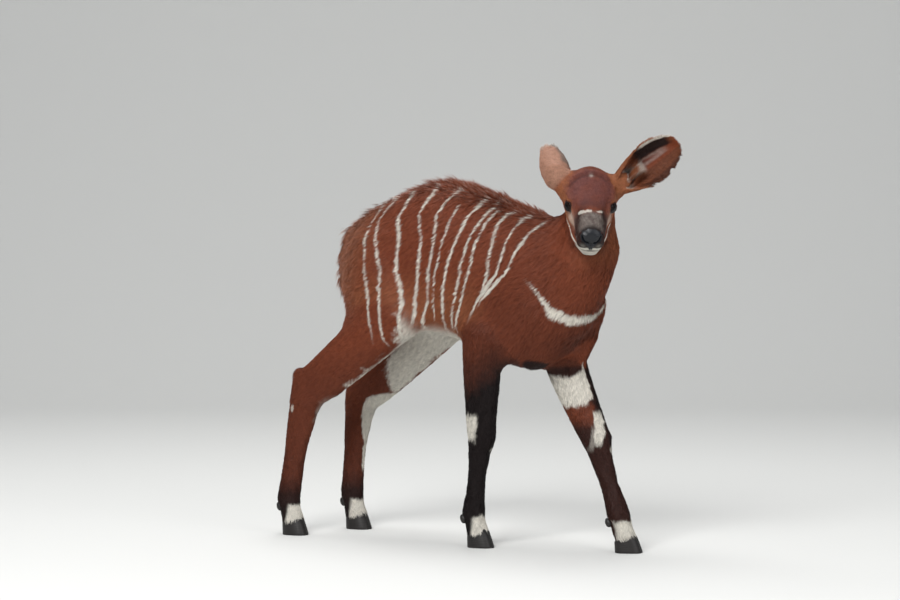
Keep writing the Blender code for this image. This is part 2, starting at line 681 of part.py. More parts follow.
def eyes(pieces):
    head_piece = pieces["head"]
    for side in (LEFT, RIGHT):
        place = head_matrix() @ Vector((EYE_PLACE.x, side * EYE_PLACE.y, EYE_PLACE.z))
        head_piece = without(head_piece, ball_mesh(place, [EYE_RADIUS + GAP] * 3, EYE_SEGMENTS))
        name = f"eye_{SIDE_NAME[side]}"
        pieces[name] = new_object(name, ball_mesh(place, [EYE_RADIUS] * 3, EYE_SEGMENTS))
    head_piece.name = "head"
    pieces["head"] = head_piece


def hang_tail(pieces):
    """The tail, and its bed in the rump."""
    swollen = applied(tail(GAP))
    pieces["tail"] = tail()
    pieces["trunk"] = without(pieces["trunk"], swollen)
    pieces["trunk"].name = "trunk"


# ---------------------------------------------------------------- finishes
FINISHES = {
    # colour, roughness
    "coat": ((0.26, 0.075, 0.035), 0.85),
    "dark_coat": ((0.045, 0.022, 0.018), 0.80),
    "horn": ((0.018, 0.015, 0.014), 0.45),
    "eye": ((0.010, 0.007, 0.006), 0.08),
}
FINISH_OF = (("hoof", "horn"), ("dewclaw", "horn"), ("eye", "eye"), ("leg_front_left_lower", "dark_coat"),
             ("leg_front_right_lower", "dark_coat"))


def material(name):
    colour, roughness = FINISHES[name]
    made = bpy.data.materials.new(name)
    made.use_nodes = True
    shader = made.node_tree.nodes["Principled BSDF"]
    shader.inputs["Base Color"].default_value = (*colour, 1)
    shader.inputs["Roughness"].default_value = roughness
    shader.inputs["Metallic"].default_value = 0
    return made


def dress(pieces):
    """A material of its own for each piece."""
    for name, piece in pieces.items():
        finish = next((kind for start, kind in FINISH_OF if name.startswith(start)), "coat")
        made = material(finish)
        made.name = f"{name}_{finish}"
        piece.data.materials.clear()
        piece.data.materials.append(made)


def centre_on_floor(pieces):
    """Move everything so that the origin lies on the floor under the middle of the calf."""
    corners = []
    for piece in pieces.values():
        places = np.empty(len(piece.data.vertices) * 3)
        piece.data.vertices.foreach_get("co", places)
        places = places.reshape(-1, 3)
        corners += [places.min(axis=0), places.max(axis=0)]
    low, high = np.min(corners, axis=0), np.max(corners, axis=0)
    shift = Matrix.Translation((-(low[0] + high[0]) / 2, -(low[1] + high[1]) / 2, -low[2]))
    for piece in pieces.values():
        piece.data.transform(shift)


def main():
    for obj in list(bpy.data.objects):
        bpy.data.objects.remove(obj)
    pieces = parted(flesh())
    feet(pieces)
    eyes(pieces)
    hang_tail(pieces)
    dress(pieces)
    centre_on_floor(pieces)
    collection = bpy.data.collections.new("bongo_calf")
    bpy.context.scene.collection.children.link(collection)
    for name, piece in pieces.items():
        piece.name = name
        piece.data.name = name
        bpy.context.scene.collection.objects.unlink(piece)
        collection.objects.link(piece)


if __name__ == "__main__":
    main()
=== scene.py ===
# %% [markdown]
# # A bongo calf in hair, horn and wet eyes
#
# The frame holds a young bongo as plain solids: trunk, neck, head, ears, tail, legs, hooves and
# eyes. Each solid already reaches out to the tips of the coat. Here the solids of flesh become
# one skin, which lies deeper by the coat's depth, and the coat grows back out of it as close to
# half a million small tufts of mesh. Eyes, hooves and dewclaws are made anew as well.
#
# All lengths are metres. The calf faces +X, its left is +Y, and up is +Z.

# %% Tools and the frame
import time
from collections import namedtuple

import bmesh
import bpy
import numpy as np
from mathutils import Matrix, Vector


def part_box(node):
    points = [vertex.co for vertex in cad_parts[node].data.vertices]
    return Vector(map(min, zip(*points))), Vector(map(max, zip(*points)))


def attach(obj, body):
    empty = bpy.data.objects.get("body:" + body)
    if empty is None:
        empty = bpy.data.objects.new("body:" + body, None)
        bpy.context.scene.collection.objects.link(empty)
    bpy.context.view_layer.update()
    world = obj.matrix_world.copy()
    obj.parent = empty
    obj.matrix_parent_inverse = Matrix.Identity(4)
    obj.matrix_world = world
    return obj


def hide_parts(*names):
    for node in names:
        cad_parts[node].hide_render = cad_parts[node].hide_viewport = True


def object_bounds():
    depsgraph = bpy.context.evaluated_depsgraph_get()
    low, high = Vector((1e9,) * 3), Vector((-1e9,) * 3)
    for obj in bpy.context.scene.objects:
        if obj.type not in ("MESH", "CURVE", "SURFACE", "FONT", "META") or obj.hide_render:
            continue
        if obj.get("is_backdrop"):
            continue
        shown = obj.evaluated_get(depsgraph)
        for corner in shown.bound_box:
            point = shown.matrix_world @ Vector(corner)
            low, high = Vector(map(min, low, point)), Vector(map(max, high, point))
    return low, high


STARTED = time.time()
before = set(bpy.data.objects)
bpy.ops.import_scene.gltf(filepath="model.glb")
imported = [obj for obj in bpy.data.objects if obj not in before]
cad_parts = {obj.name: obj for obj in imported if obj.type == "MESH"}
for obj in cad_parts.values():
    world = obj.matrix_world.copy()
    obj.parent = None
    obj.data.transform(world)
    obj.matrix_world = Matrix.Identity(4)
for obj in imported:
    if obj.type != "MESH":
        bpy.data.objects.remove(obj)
cad_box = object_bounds()


def say(*words):
    """Prints words with the seconds since the start."""
    print(f"[{time.time() - STARTED:5.1f} s]", *words)


def rounded(box):
    """A box's corners to the millimetre."""
    return [[round(c, 3) for c in corner] for corner in box]


say("frame with", len(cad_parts), "nodes, box", rounded(cad_box))

# %% [markdown]
# ## Small tools for arrays
#
# Everything below works on whole arrays of points. A ramp gives a soft step, a spot fades away
# all round its middle, and ripples are sums of sine waves, which stand in for noise because they
# are smooth, quick and the same each time.

# %% Array tools
def unit(vectors):
    """Each vector divided by its length."""
    return vectors / np.maximum(np.linalg.norm(vectors, axis=-1, keepdims=True), 1e-9)


def ramp(values, low, high):
    """0 below low, 1 above high, and 3t^2 - 2t^3 between. low may be the greater."""
    t = np.clip((np.asarray(values) - low) / (high - low), 0, 1)
    return t * t * (3 - 2 * t)


def spot(points, place, radii):
    """exp(-d^2), where d is the distance from place in units of the radii."""
    return np.exp(-((((points - np.array(place)) / np.array(radii)) ** 2).sum(axis=-1)))


def ripples(points, wavelength, seed, waves=7):
    """Sum of sine waves in seeded directions, scaled to about -1..1."""
    random = np.random.default_rng(seed)
    ways = unit(random.normal(size=(waves, 3))) * (2 * np.pi / wavelength)
    ways = ways * random.uniform(0.6, 1.5, (waves, 1))
    starts = random.uniform(0, 2 * np.pi, waves)
    return np.sin(points @ ways.T + starts).sum(axis=-1) / np.sqrt(waves)


def read(mesh, what, width=3, source="vertices"):
    """One number row for each element of a mesh, as an array."""
    items = getattr(mesh, source)
    values = np.empty(len(items) * width, np.float32)
    items.foreach_get(what, values)
    return values.reshape(-1, width).astype(float)


def put_points(mesh, points):
    """Moves a mesh's vertices to the points."""
    mesh.vertices.foreach_set("co", points.astype(np.float32).ravel())
    mesh.update()


def put_attribute(mesh, name, values, kind="FLOAT"):
    """Stores one value for each vertex: a number, or four for a colour."""
    layer = mesh.attributes.new(name, kind, "POINT")
    field = "color" if kind == "FLOAT_COLOR" else "value"
    layer.data.foreach_set(field, values.astype(np.float32).ravel())


def new_object(name, data):
    """An object for a mesh, light or camera, in the scene, at the origin."""
    made = bpy.data.objects.new(name, data)
    bpy.context.scene.collection.objects.link(made)
    return made


def applied(piece):
    """The object's mesh with its modifiers applied. The object goes."""
    graph = bpy.context.evaluated_depsgraph_get()
    mesh = bpy.data.meshes.new_from_object(piece.evaluated_get(graph))
    bpy.data.objects.remove(piece)
    return mesh


def modified(mesh, weights=None, **steps):
    """The mesh after the named modifiers. weights is a number per vertex for those that use it."""
    piece = new_object("work", mesh)
    piece.vertex_groups.clear()
    if weights is not None:
        group = piece.vertex_groups.new(name="weight")
        levels = np.round(np.clip(weights, 0, 1), 2)
        for level in np.unique(levels):
            group.add(np.flatnonzero(levels == level).tolist(), float(level), "REPLACE")
    for kind, values in steps.items():
        modifier = piece.modifiers.new(kind, kind)
        for key, value in values.items():
            setattr(modifier, key, value)
        if weights is not None:
            modifier.vertex_group = "weight"
    return applied(piece)


# %% [markdown]
# ## Where things are
#
# A body is easier to describe from a place of its own than from the floor's middle. Body places
# are given from a point on the mid-line beside the right fore foot, 20 mm above the soles, and
# head places from a point midway between the eyes, nose along +X. The eyes' solids tell where
# that is.

# %% Places on the body and on the head
HEAD_PLACE = np.array((0.333, -0.087, 0.732))
HEAD_ANGLES = np.radians((-53.0, 37.0, -2.5))  # turned about Z, then pitched about Y, then rolled
EYE_PLACE = np.array((0.001, 0.0420, 0.002))


def middle_of(node):
    """The middle of a solid's box."""
    low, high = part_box(node)
    return (np.array(low) + np.array(high)) / 2


turned, pitched, rolled = (Matrix.Rotation(angle, 3, axis) for angle, axis in zip(HEAD_ANGLES, "ZYX"))
HEAD_AXES = np.array(turned @ pitched @ rolled)
between_eyes = (middle_of("eye_left") + middle_of("eye_right")) / 2
HEAD_ORIGIN = between_eyes - HEAD_AXES @ (EYE_PLACE * (1, 0, 1))
START = HEAD_ORIGIN - HEAD_PLACE


def body(*place):
    """Frame coordinates of a place given in body coordinates."""
    return np.array(place) + START


def to_head(points):
    """Head coordinates of frame points: subtract the head's origin, then turn back."""
    return (points - HEAD_ORIGIN) @ HEAD_AXES


def from_head(points):
    """Frame coordinates of head points."""
    return np.asarray(points) @ HEAD_AXES.T + HEAD_ORIGIN


class Ear:
    """A cupped ear: its root, the way to its tip and the way its cup faces, in head coordinates."""

    def __init__(self, root, towards, opening):
        self.root, self.towards = np.array(root), unit(np.array(towards))
        self.opening = unit(np.array(opening) - self.towards * (self.towards @ np.array(opening)))

    def at(self, distance):
        """The place at that distance from the root, up the ear."""
        return self.root + self.towards * distance


EAR_LENGTH = 0.182
EARS = {
    "left": Ear((-0.052, 0.044, 0.003), (-0.454, 0.803, 0.386), (0.777, 0.145, 0.612)),
    "right": Ear((-0.046, -0.070, 0.034), (-0.94, -0.06, -0.336), (0.286, 0.395, -0.873)),
}
say("body coordinates start at", START.round(4), "and the head's at", HEAD_ORIGIN.round(3))

# %% [markdown]
# ## The parts of the body, as bones
#
# Hair differs from part to part: long on the back, short on the legs, tiny on the face. Each part
# is given a bone, which is a line through its middle that runs the way its hair lies, and a
# radius. A point belongs to the part whose bone is nearest in radii, and near a border it belongs
# a little to both, so that every value changes softly from part to part.

# %% Bones
Part = namedtuple("Part", "name path radius depth length width lift flow")
H = from_head
# Each foot: the way it points in degrees, its fetlock and its coronet, in body coordinates.
Foot = namedtuple("Foot", "turn fetlock coronet")
FEET = {
    "front_left": Foot(14, (0.297, 0.072, 0.060), (0.314, 0.074, 0.009)),
    "front_right": Foot(0, (-0.008, -0.042, 0.057), (0.004, -0.040, 0.008)),
    "hind_left": Foot(0, (-0.438, 0.076, 0.056), (-0.426, 0.075, 0.008)),
    "hind_right": Foot(0, (-0.480, -0.100, 0.058), (-0.469, -0.100, 0.009)),
}


# Depth, length, width and lift of the hair on legs. Nothing bends its flow.
UPPER_HAIR = (0.0040, 0.0105, 0.0010, 0.14, None)
LOWER_HAIR = (0.0024, 0.0068, 0.0009, 0.13, None)


def leg_parts():
    """Upper and lower legs: place of the upper joint, the bend, the fetlock and the coronet."""
    joints = {
        "front_left": ((0.182, 0.070, 0.450), (0.240, 0.070, 0.218), *FEET["front_left"][1:]),
        "front_right": ((0.050, -0.068, 0.430), (0.020, -0.052, 0.222), *FEET["front_right"][1:]),
        "hind_left": ((-0.215, 0.078, 0.440), (-0.412, 0.080, 0.296), *FEET["hind_left"][1:]),
        "hind_right": ((-0.215, -0.084, 0.455), (-0.430, -0.098, 0.318), *FEET["hind_right"][1:]),
    }
    parts = []
    for name, (top, bend, fetlock, coronet) in joints.items():
        thick = 0.050 if name.startswith("hind") else 0.042
        parts.append(Part(f"upper_{name}", (body(*top), body(*bend)), thick, *UPPER_HAIR))
        lower = (body(*bend), body(*fetlock), body(*coronet))
        parts.append(Part(f"lower_{name}", lower, 0.024, *LOWER_HAIR))
    return parts


PARTS = [
    Part("trunk", (body(0.215, 0, 0.560), body(-0.020, 0, 0.585), body(-0.320, 0, 0.610)), 0.105,
         0.0080, 0.0165, 0.0012, 0.17, (-0.62, 0, -1)),
    Part("neck", (H((-0.045, 0, -0.075)), body(0.285, -0.005, 0.690), body(0.235, 0, 0.600)), 0.066,
         0.0060, 0.0135, 0.0011, 0.16, (-0.25, 0, -1)),
    Part("head", (H((0.090, 0, -0.028)), H((0.020, 0, -0.022)), H((-0.075, 0, -0.010))), 0.046,
         0.0018, 0.0052, 0.0008, 0.17, None),
    Part("tail", (body(-0.374, 0, 0.662), body(-0.395, 0, 0.610), body(-0.402, 0, 0.535)), 0.016,
         0.0055, 0.0230, 0.0012, 0.22, None),
    Part("ear_left", (H(EARS["left"].at(0.030)), H(EARS["left"].at(0.182))), 0.030,
         0.0005, 0.0060, 0.0009, 0.14, None),
    Part("ear_right", (H(EARS["right"].at(0.034)), H(EARS["right"].at(0.182))), 0.026,
         0.0005, 0.0060, 0.0009, 0.14, None),
    *leg_parts(),
]
NAMES = [part.name for part in PARTS]


BEND_SOFTNESS = 0.02
BORDER_SOFTNESS = 0.12  # in radii


def along_path(points, path):
    """Distance to a line of straight runs, the way it runs there, and how far along it, 0 to 1."""
    path = np.array(path)
    runs = np.diff(path, axis=0)
    lengths = np.linalg.norm(runs, axis=1)
    shares = []
    distances = []
    for start, run, length in zip(path, runs, lengths):
        share = np.clip((points - start) @ run / length**2, 0, 1)
        shares.append(share)
        distances.append(np.linalg.norm(points - start - share[:, None] * run, axis=1))
    distances = np.array(distances)
    nearest = distances.argmin(axis=0)
    soft = np.exp(-((distances - distances.min(axis=0)) / BEND_SOFTNESS) ** 2)
    way = unit((soft / soft.sum(axis=0)).T @ unit(runs))
    before = np.concatenate([[0], np.cumsum(lengths)])[nearest]
    passed = before + np.array(shares)[nearest, np.arange(len(points))] * lengths[nearest]
    return distances.min(axis=0), way, passed / lengths.sum()


def memberships(points):
    """How much each point belongs to each part: exp(-d/s) of the distance in radii, summing to 1."""
    reach = np.array([along_path(points, part.path)[0] / part.radius for part in PARTS])
    shares = np.exp(-(reach - reach.min(axis=0)) / BORDER_SOFTNESS)
    return (shares / shares.sum(axis=0)).T


def blended(shares, field):
    """A part's number, blended by membership."""
    return shares @ np.array([getattr(part, field) for part in PARTS])


def crest(points, normals):
    """1 on the raised mane along the spine, 0 off it."""
    x, y, _ = (points - START).T
    over = ramp(normals[:, 2], 0.45, 0.95) * np.exp(-((y / 0.045) ** 2))
    return over * ramp(x, -0.37, -0.30) * ramp(x, 0.24, 0.10)


def rump(points, normals):
    """1 on the fluffy back of the haunches, 0 elsewhere."""
    x, _, z = (points - START).T
    return ramp(x, -0.22, -0.33) * ramp(z, 0.42, 0.52) * ramp(normals[:, 0], 0.2, -0.5)


say(len(PARTS), "parts:", ", ".join(NAMES))

# %% [markdown]
# ## One skin under all the hair
#
# On the calf, one hide runs over everything, lids over the eyeballs too. Here the solids of flesh
# are copied, grown by a hair's breadth so that neighbours overlap, and melted together by a voxel
# remesh, which leaves no seam. Smoothing takes out the solids' facets: much of it on the barrel,
# little on the head. Then every point sinks along its normal by the depth of the coat there.

# %% Melt the solids of flesh into one skin
GROWTH = 0.0006
SKIN_VOXEL = 0.0021
FLESH = [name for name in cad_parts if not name.startswith(("eye", "hoof", "dewclaw"))]
EYEBALLS = ["eye_left", "eye_right"]
CREST_DEPTH, RUMP_DEPTH = 0.012, 0.004
FOOT_FADE = (0.016, 0.066)  # heights from which and up to which the coat's depth grows


def melted(nodes, growth, voxel):
    """One closed mesh around all the nodes' solids."""
    bm = bmesh.new()
    for node in nodes:
        bm.from_mesh(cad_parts[node].data)
    bmesh.ops.remove_doubles(bm, verts=bm.verts, dist=1e-5)
    mesh = bpy.data.meshes.new("solids")
    bm.to_mesh(mesh)
    bm.free()
    put_points(mesh, read(mesh, "co") + read(mesh, "vector", 3, "vertex_normals") * growth)
    return modified(mesh, REMESH=dict(mode="VOXEL", voxel_size=voxel))


skin_mesh = melted(FLESH + EYEBALLS, GROWTH, SKIN_VOXEL)
say("melted skin:", len(skin_mesh.vertices), "vertices")
skin_mesh = modified(skin_mesh, SMOOTH=dict(factor=0.5, iterations=8))
shares = memberships(read(skin_mesh, "co"))
BARREL = [NAMES.index(name) for name in ("trunk", "neck")]
THIGHS = [NAMES.index(f"upper_hind_{side}") for side in ("left", "right")]
barrel = shares[:, BARREL].sum(axis=1) + 0.6 * shares[:, THIGHS].sum(axis=1)
skin_mesh = modified(skin_mesh, weights=barrel, SMOOTH=dict(factor=0.7, iterations=90))
LIMBS = [number for number, name in enumerate(NAMES) if name.startswith(("upper", "lower", "tail"))]
limbs = shares[:, LIMBS].sum(axis=1)
skin_mesh = modified(skin_mesh, weights=limbs, SMOOTH=dict(factor=0.5, iterations=14))
say("smoothed")


def sink(mesh):
    """Moves each point inwards by the coat's depth. Returns the points' memberships."""
    points, normals = read(mesh, "co"), read(mesh, "vector", 3, "vertex_normals")
    shares = memberships(points)
    depth = blended(shares, "depth") + CREST_DEPTH * crest(points, normals)
    depth += RUMP_DEPTH * rump(points, normals)
    depth *= ramp(points[:, 2], *FOOT_FADE)
    put_points(mesh, points - normals * depth[:, None])
    return shares


shares = sink(skin_mesh)
say("sunk by the coat's depth")

# %% [markdown]
# ## Fewer triangles where hair covers all
#
# The body's skin hides under hair and can be coarse. The head keeps its fine grid, because lids,
# nostrils and lips are carved into it.

# %% Thin out the grid away from the head
SKIN_TRIANGLES = 108_000
MILLIMETRES = 1000
# How freely triangles may grow, from 0 to 1. An edge costs more to remove, by its length times
# one minus this.
FREEDOM = {"head": 0.12, "ear": 0.30, "trunk": 0.62, "neck": 0.60, "tail": 0.45, "upper": 0.50,
           "lower": 0.42}
freedom = shares @ np.array([FREEDOM[name.split("_")[0]] for name in NAMES])
full = 2 * len(skin_mesh.vertices)
put_points(skin_mesh, read(skin_mesh, "co") * MILLIMETRES)
skin_mesh = modified(skin_mesh, weights=freedom,
                     DECIMATE=dict(ratio=SKIN_TRIANGLES / full, vertex_group_factor=1.0))
put_points(skin_mesh, read(skin_mesh, "co") / MILLIMETRES)
say("thinned skin:", len(skin_mesh.polygons), "faces")

# %% [markdown]
# ## A finer grid for the face
#
# Faces of the muzzle and around the eyes are split twice, the rest of the head's front once. Then
# a little smoothing rounds the new points.

# %% Split the face's triangles
EYE = np.array((0.0045, 0.0392, 0.0030))
EYE_REACH, EYE_INSIDE = 0.0195, 0.030  # a ball around the eye, and how far out its faces begin
LIP_HEIGHT = -0.0425


def folded(points):
    """Head points with both sides of the head laid onto the left."""
    return np.stack([points[:, 0], np.abs(points[:, 1]), points[:, 2]], axis=1)


def is_face(points):
    """Faces of the whole front of the head."""
    x, y, z = points.T
    return (x > -0.056) & (np.abs(y) < 0.060) & (np.abs(z - 0.004) < 0.060)


def is_feature(points):
    """Faces near the eyes, the nose and the lips."""
    x, y, z = folded(points).T
    eye = np.linalg.norm(folded(points) - EYE, axis=1) < EYE_REACH
    nose = (x > 0.084) & (z > -0.048) & (z < 0.014) & (y < 0.026)
    lips = (x > 0.044) & (np.abs(z - LIP_HEIGHT) < 0.0050)
    return (eye & (y > EYE_INSIDE)) | nose | lips


def split(mesh, choose):
    """Halves every edge of the chosen faces. Faces beside them become triangles again."""
    chosen = np.flatnonzero(choose(to_head(read(mesh, "center", 3, "polygons"))))
    bm = bmesh.new()
    bm.from_mesh(mesh)
    bm.faces.ensure_lookup_table()
    edges = list(dict.fromkeys(edge for number in chosen for edge in bm.faces[number].edges))
    bmesh.ops.subdivide_edges(bm, edges=edges, cuts=1, use_grid_fill=True)
    bmesh.ops.triangulate(bm, faces=[face for face in bm.faces if len(face.verts) > 3])
    bm.to_mesh(mesh)
    bm.free()


for choose in (is_face, is_feature):
    split(skin_mesh, choose)
    near = choose(to_head(read(skin_mesh, "co"))).astype(float)
    skin_mesh = modified(skin_mesh, weights=near, SMOOTH=dict(factor=0.5, iterations=3))
    say("split:", len(skin_mesh.polygons), "faces")

# %% [markdown]
# ## Carve the face
#
# Most of the face is drawn with strokes. A stroke is a line on the skin with a width and a height.
# The skin rises or sinks along it by the height times exp(-(d/width)^2), where d is the distance
# to the line. Both sides of the head get the same strokes.

# %% Strokes on the face
Stroke = namedtuple("Stroke", "places width height")
MOUTH = ((0.098, 0.000, -0.0405), (0.092, 0.010, -0.0435), (0.080, 0.0215, -0.0430),
         (0.062, 0.0275, -0.0400), (0.044, 0.0320, -0.0350))
NOSTRIL = ((0.1030, 0.0070, -0.0190), (0.1005, 0.0125, -0.0175), (0.0970, 0.0172, -0.0120),
           (0.0930, 0.0190, -0.0045))


def beside(places, back, up):
    """The places moved back and up, without the last."""
    return tuple((x - back, y, z + up) for x, y, z in places[:4])


STROKES = {
    "brow": Stroke(((-0.024, 0.045, 0.024), (-0.008, 0.047, 0.025), (0.008, 0.044, 0.021),
                    (0.021, 0.038, 0.012)), 0.0060, 0.0026),
    "tear groove": Stroke(((0.018, 0.042, -0.006), (0.028, 0.040, -0.012), (0.040, 0.036, -0.014)),
                          0.0045, -0.0018),
    "cheekbone": Stroke(((-0.034, 0.052, -0.014), (-0.004, 0.048, -0.022), (0.026, 0.041, -0.024)),
                        0.0075, 0.0020),
    "side of the bridge": Stroke(((0.026, 0.030, 0.018), (0.052, 0.026, 0.009),
                                  (0.078, 0.023, 0.002)), 0.0080, -0.0026),
    "bridge": Stroke(((0.020, 0.0, 0.042), (0.060, 0.0, 0.026), (0.084, 0.0, 0.014)),
                     0.0110, 0.0014),
    "hollow of the cheek": Stroke(((0.030, 0.038, -0.036), (0.050, 0.033, -0.030)),
                                  0.0110, -0.0022),
    "jaw": Stroke(((-0.030, 0.046, -0.058), (0.010, 0.042, -0.060), (0.050, 0.031, -0.060)),
                  0.0100, 0.0016),
    "mouth": Stroke(MOUTH, 0.0013, -0.0036),
    "upper lip": Stroke(beside(MOUTH, 0.001, 0.0050), 0.0042, 0.0012),
    "lower lip": Stroke(beside(MOUTH, 0.004, -0.0055), 0.0045, 0.0014),
    "philtrum": Stroke(((0.104, 0.0, -0.016), (0.103, 0.0, -0.028), (0.099, 0.0, -0.039)),
                       0.0014, -0.0022),
    "nostril": Stroke(NOSTRIL, 0.0027, -0.0085),
    "wing of the nostril": Stroke(((0.0990, 0.0110, -0.0020), (0.0930, 0.0225, -0.0010),
                                   (0.0900, 0.0250, -0.0120)), 0.0036, 0.0024),
    "fold of the forehead": Stroke(((-0.036, 0.0, 0.0525), (-0.034, 0.018, 0.050),
                                    (-0.028, 0.034, 0.044), (-0.018, 0.0455, 0.036)),
                                   0.0032, -0.0028),
    "ridge behind the fold": Stroke(((-0.046, 0.0, 0.052), (-0.044, 0.018, 0.050),
                                     (-0.038, 0.034, 0.043)), 0.0050, 0.0030),
}
STROKE_STEPS = 24
face_mesh_points = folded(to_head(read(skin_mesh, "co")))
FACE_POINTS = face_mesh_points[np.abs(face_mesh_points).max(axis=1) < 0.115]
FACE_MIDDLE = np.array((-0.01, 0.0, -0.012))


def drawn(places):
    """The places joined by straight runs, and each step moved straight in or out onto the skin."""
    places = np.array(places)
    steps = np.linspace(0, len(places) - 1, STROKE_STEPS)
    line = np.stack([np.interp(steps, range(len(places)), axis) for axis in places.T], axis=1)
    nearest = FACE_POINTS[((FACE_POINTS[None] - line[:, None]) ** 2).sum(axis=-1).argmin(axis=1)]
    outwards = unit(line - FACE_MIDDLE)
    return line + outwards * ((nearest - line) * outwards).sum(axis=1, keepdims=True)


LINES = {name: drawn(stroke.places) for name, stroke in STROKES.items()}


def near(points, name, width=None):
    """exp(-(d/width)^2) of the distance to a stroke's line, for folded head points."""
    distance = along_path(points, LINES[name])[0]
    return np.exp(-((distance / (width or STROKES[name].width)) ** 2))


def nose_leather(points, edge=0.0010):
    """1 on the bare nose, a broad pad that narrows downwards to the lip. edge softens its border."""
    x, y, z = folded(points).T
    half = np.interp(z, (-0.042, -0.036, -0.028, -0.021, -0.014, -0.004, 0.004, 0.010),
                     (0.0029, 0.0039, 0.0063, 0.0132, 0.0216, 0.0236, 0.0192, 0.0088))
    back, top, bottom = 0.085, 0.0110, -0.042
    pad = ramp(y - half, edge, -edge) * ramp(x, back - edge, back + edge)
    return pad * ramp(z, top + edge, top - edge) * ramp(z, bottom - edge, bottom + edge)


# %% Lids: where the eye's opening is, seen from the eyeball's middle
EYE_OUT = unit(np.array((0.68, 0.69, 0.22)))
EYE_FORE = unit(np.cross(EYE_OUT, np.cross((1.0, 0.0, -0.30), EYE_OUT)))
EYE_UP = np.cross(EYE_FORE, EYE_OUT)
OPENING_WIDE, OPENING_TALL, OPENING_LOW = np.radians((43, 35, 27))
EYEBALL, LID = 0.0150, 0.0161
ALMOND, LID_TILT = 2.3, 0.10  # a greater power gives a squarer eye


def lid_angles(points):
    """Angles from the eye's middle for folded head points: fore and aft, then up and down."""
    off = points - EYE
    out, fore, up = off @ EYE_OUT, off @ EYE_FORE, off @ EYE_UP
    return np.arctan2(fore, out), np.arctan2(up, np.hypot(out, fore))


def opening(points):
    """Degrees inside the lids' edge, below 0 on the lids: an almond, its front corner lower."""
    aside, tall = lid_angles(points)
    share = np.clip(aside / OPENING_WIDE, -1, 1)
    height = np.where(tall > 0, OPENING_TALL, OPENING_LOW) * (1 - np.abs(share) ** ALMOND)
    inside = height - np.abs(tall + LID_TILT * share)
    return np.degrees(np.minimum(inside, (OPENING_WIDE - np.abs(aside)) * 0.8))


def carved(points, normals, depth):
    """Head points after all strokes, the bare nose brought back up, and the lids laid on the eye.

    A lid's edge stands up by 0.7 mm, 5 degrees outside the opening, and dips by 0.6 mm at 15
    degrees. Inside the opening the skin sinks below the eyeball, out of sight.
    """
    flat = folded(points)
    mirrored = np.where(points[:, 1:2] < 0, np.array((1.0, -1.0, 1.0)), 1.0)
    rise = sum(stroke.height * near(flat, name) for name, stroke in STROKES.items())
    rise = rise + depth * nose_leather(points, 0.0045)
    moved = points + normals * rise[:, None]
    flat = moved * mirrored
    off = flat - EYE
    far = np.linalg.norm(off, axis=1)
    facing = (off @ EYE_OUT) / far
    inside = opening(flat)
    on_ball = ramp(far, 0.0275, 0.0205) * ramp(facing, 0.05, 0.30)
    edge, crease = (np.exp(-(((inside + angle) / 4) ** 2)) for angle in (5, 15))
    lid = LID + 0.0007 * edge - 0.0006 * crease
    radius = lid - 0.0062 * ramp(inside, -1.5, 2.5)
    around = ramp(inside, -34, -9)
    wanted = far + (np.maximum(far, radius) * (1 - around) + radius * around - far) * on_ball
    flat = EYE + off * (wanted / far)[:, None]
    return np.where((on_ball > 0)[:, None], flat * mirrored, moved)


mesh_points = read(skin_mesh, "co")
head_points = to_head(mesh_points)
face = np.abs(head_points - (0.02, 0, -0.01)).max(axis=1) < 0.092
normals = read(skin_mesh, "vector", 3, "vertex_normals") @ HEAD_AXES
depth = blended(memberships(mesh_points[face]), "depth")
head_points[face] = carved(head_points[face], normals[face], depth)
mesh_points[face] = from_head(head_points[face])
put_points(skin_mesh, mesh_points)
say("carved", len(STROKES), "strokes and two pairs of lids on", int(face.sum()), "points")

skin_mesh.shade_smooth()
skin = new_object("skin", skin_mesh)

# %% [markdown]
# ## Wet eyes
#
# Each eyeball is a ball of rings around the line of sight, with the cornea as a low bulge. The
# pupil is a dark oblong that lies level, inside a very dark brown iris.

# %% Eyeballs
EYE_RINGS, EYE_ROUND = 40, 64
CORNEA_RISE, CORNEA_WIDE = 0.0011, 30.0
PUPIL_WIDE, PUPIL_TALL, IRIS = 22.0, 13.0, 39.0
IRIS_RAYS = 23
IRIS_COLOUR, RIM_COLOUR = np.array((0.012, 0.006, 0.004)), np.array((0.030, 0.018, 0.013))


def ring_quads(grid):
    """Four corners for each face between a row of the grid and the next, closed round each row."""
    corners = [grid[:-1], grid[1:], np.roll(grid[1:], -1, 1), np.roll(grid[:-1], -1, 1)]
    return np.stack(corners, axis=-1).reshape(-1, 4).tolist()


def ball_rings(rings, around):
    """Unit vectors over a ball, ring by ring from one pole to the other, and the ball's faces."""
    down = np.linspace(0, np.pi, rings + 1)[:, None]
    turn = np.linspace(0, 2 * np.pi, around, endpoint=False)
    ways = [np.cos(down) + 0 * turn, np.sin(down) * np.cos(turn), np.sin(down) * np.sin(turn)]
    ways = np.stack(ways, axis=-1)
    ways = np.concatenate([ways[0, :1], ways[1:-1].reshape(-1, 3), ways[-1, :1]])
    grid = 1 + np.arange((rings - 1) * around).reshape(rings - 1, around)
    first = [(0, a, b) for a, b in zip(grid[0], np.roll(grid[0], -1))]
    last = [(len(ways) - 1, b, a) for a, b in zip(grid[-1], np.roll(grid[-1], -1))]
    return ways, ring_quads(grid) + first + last


def surface(name, points, faces):
    """A smooth mesh of points and faces, its normals turned outwards."""
    mesh = bpy.data.meshes.new(name)
    mesh.from_pydata(np.asarray(points).tolist(), [], [tuple(map(int, face)) for face in faces])
    bm = bmesh.new()
    bm.from_mesh(mesh)
    bmesh.ops.recalc_face_normals(bm, faces=bm.faces)
    bm.to_mesh(mesh)
    bm.free()
    mesh.shade_smooth()
    return mesh


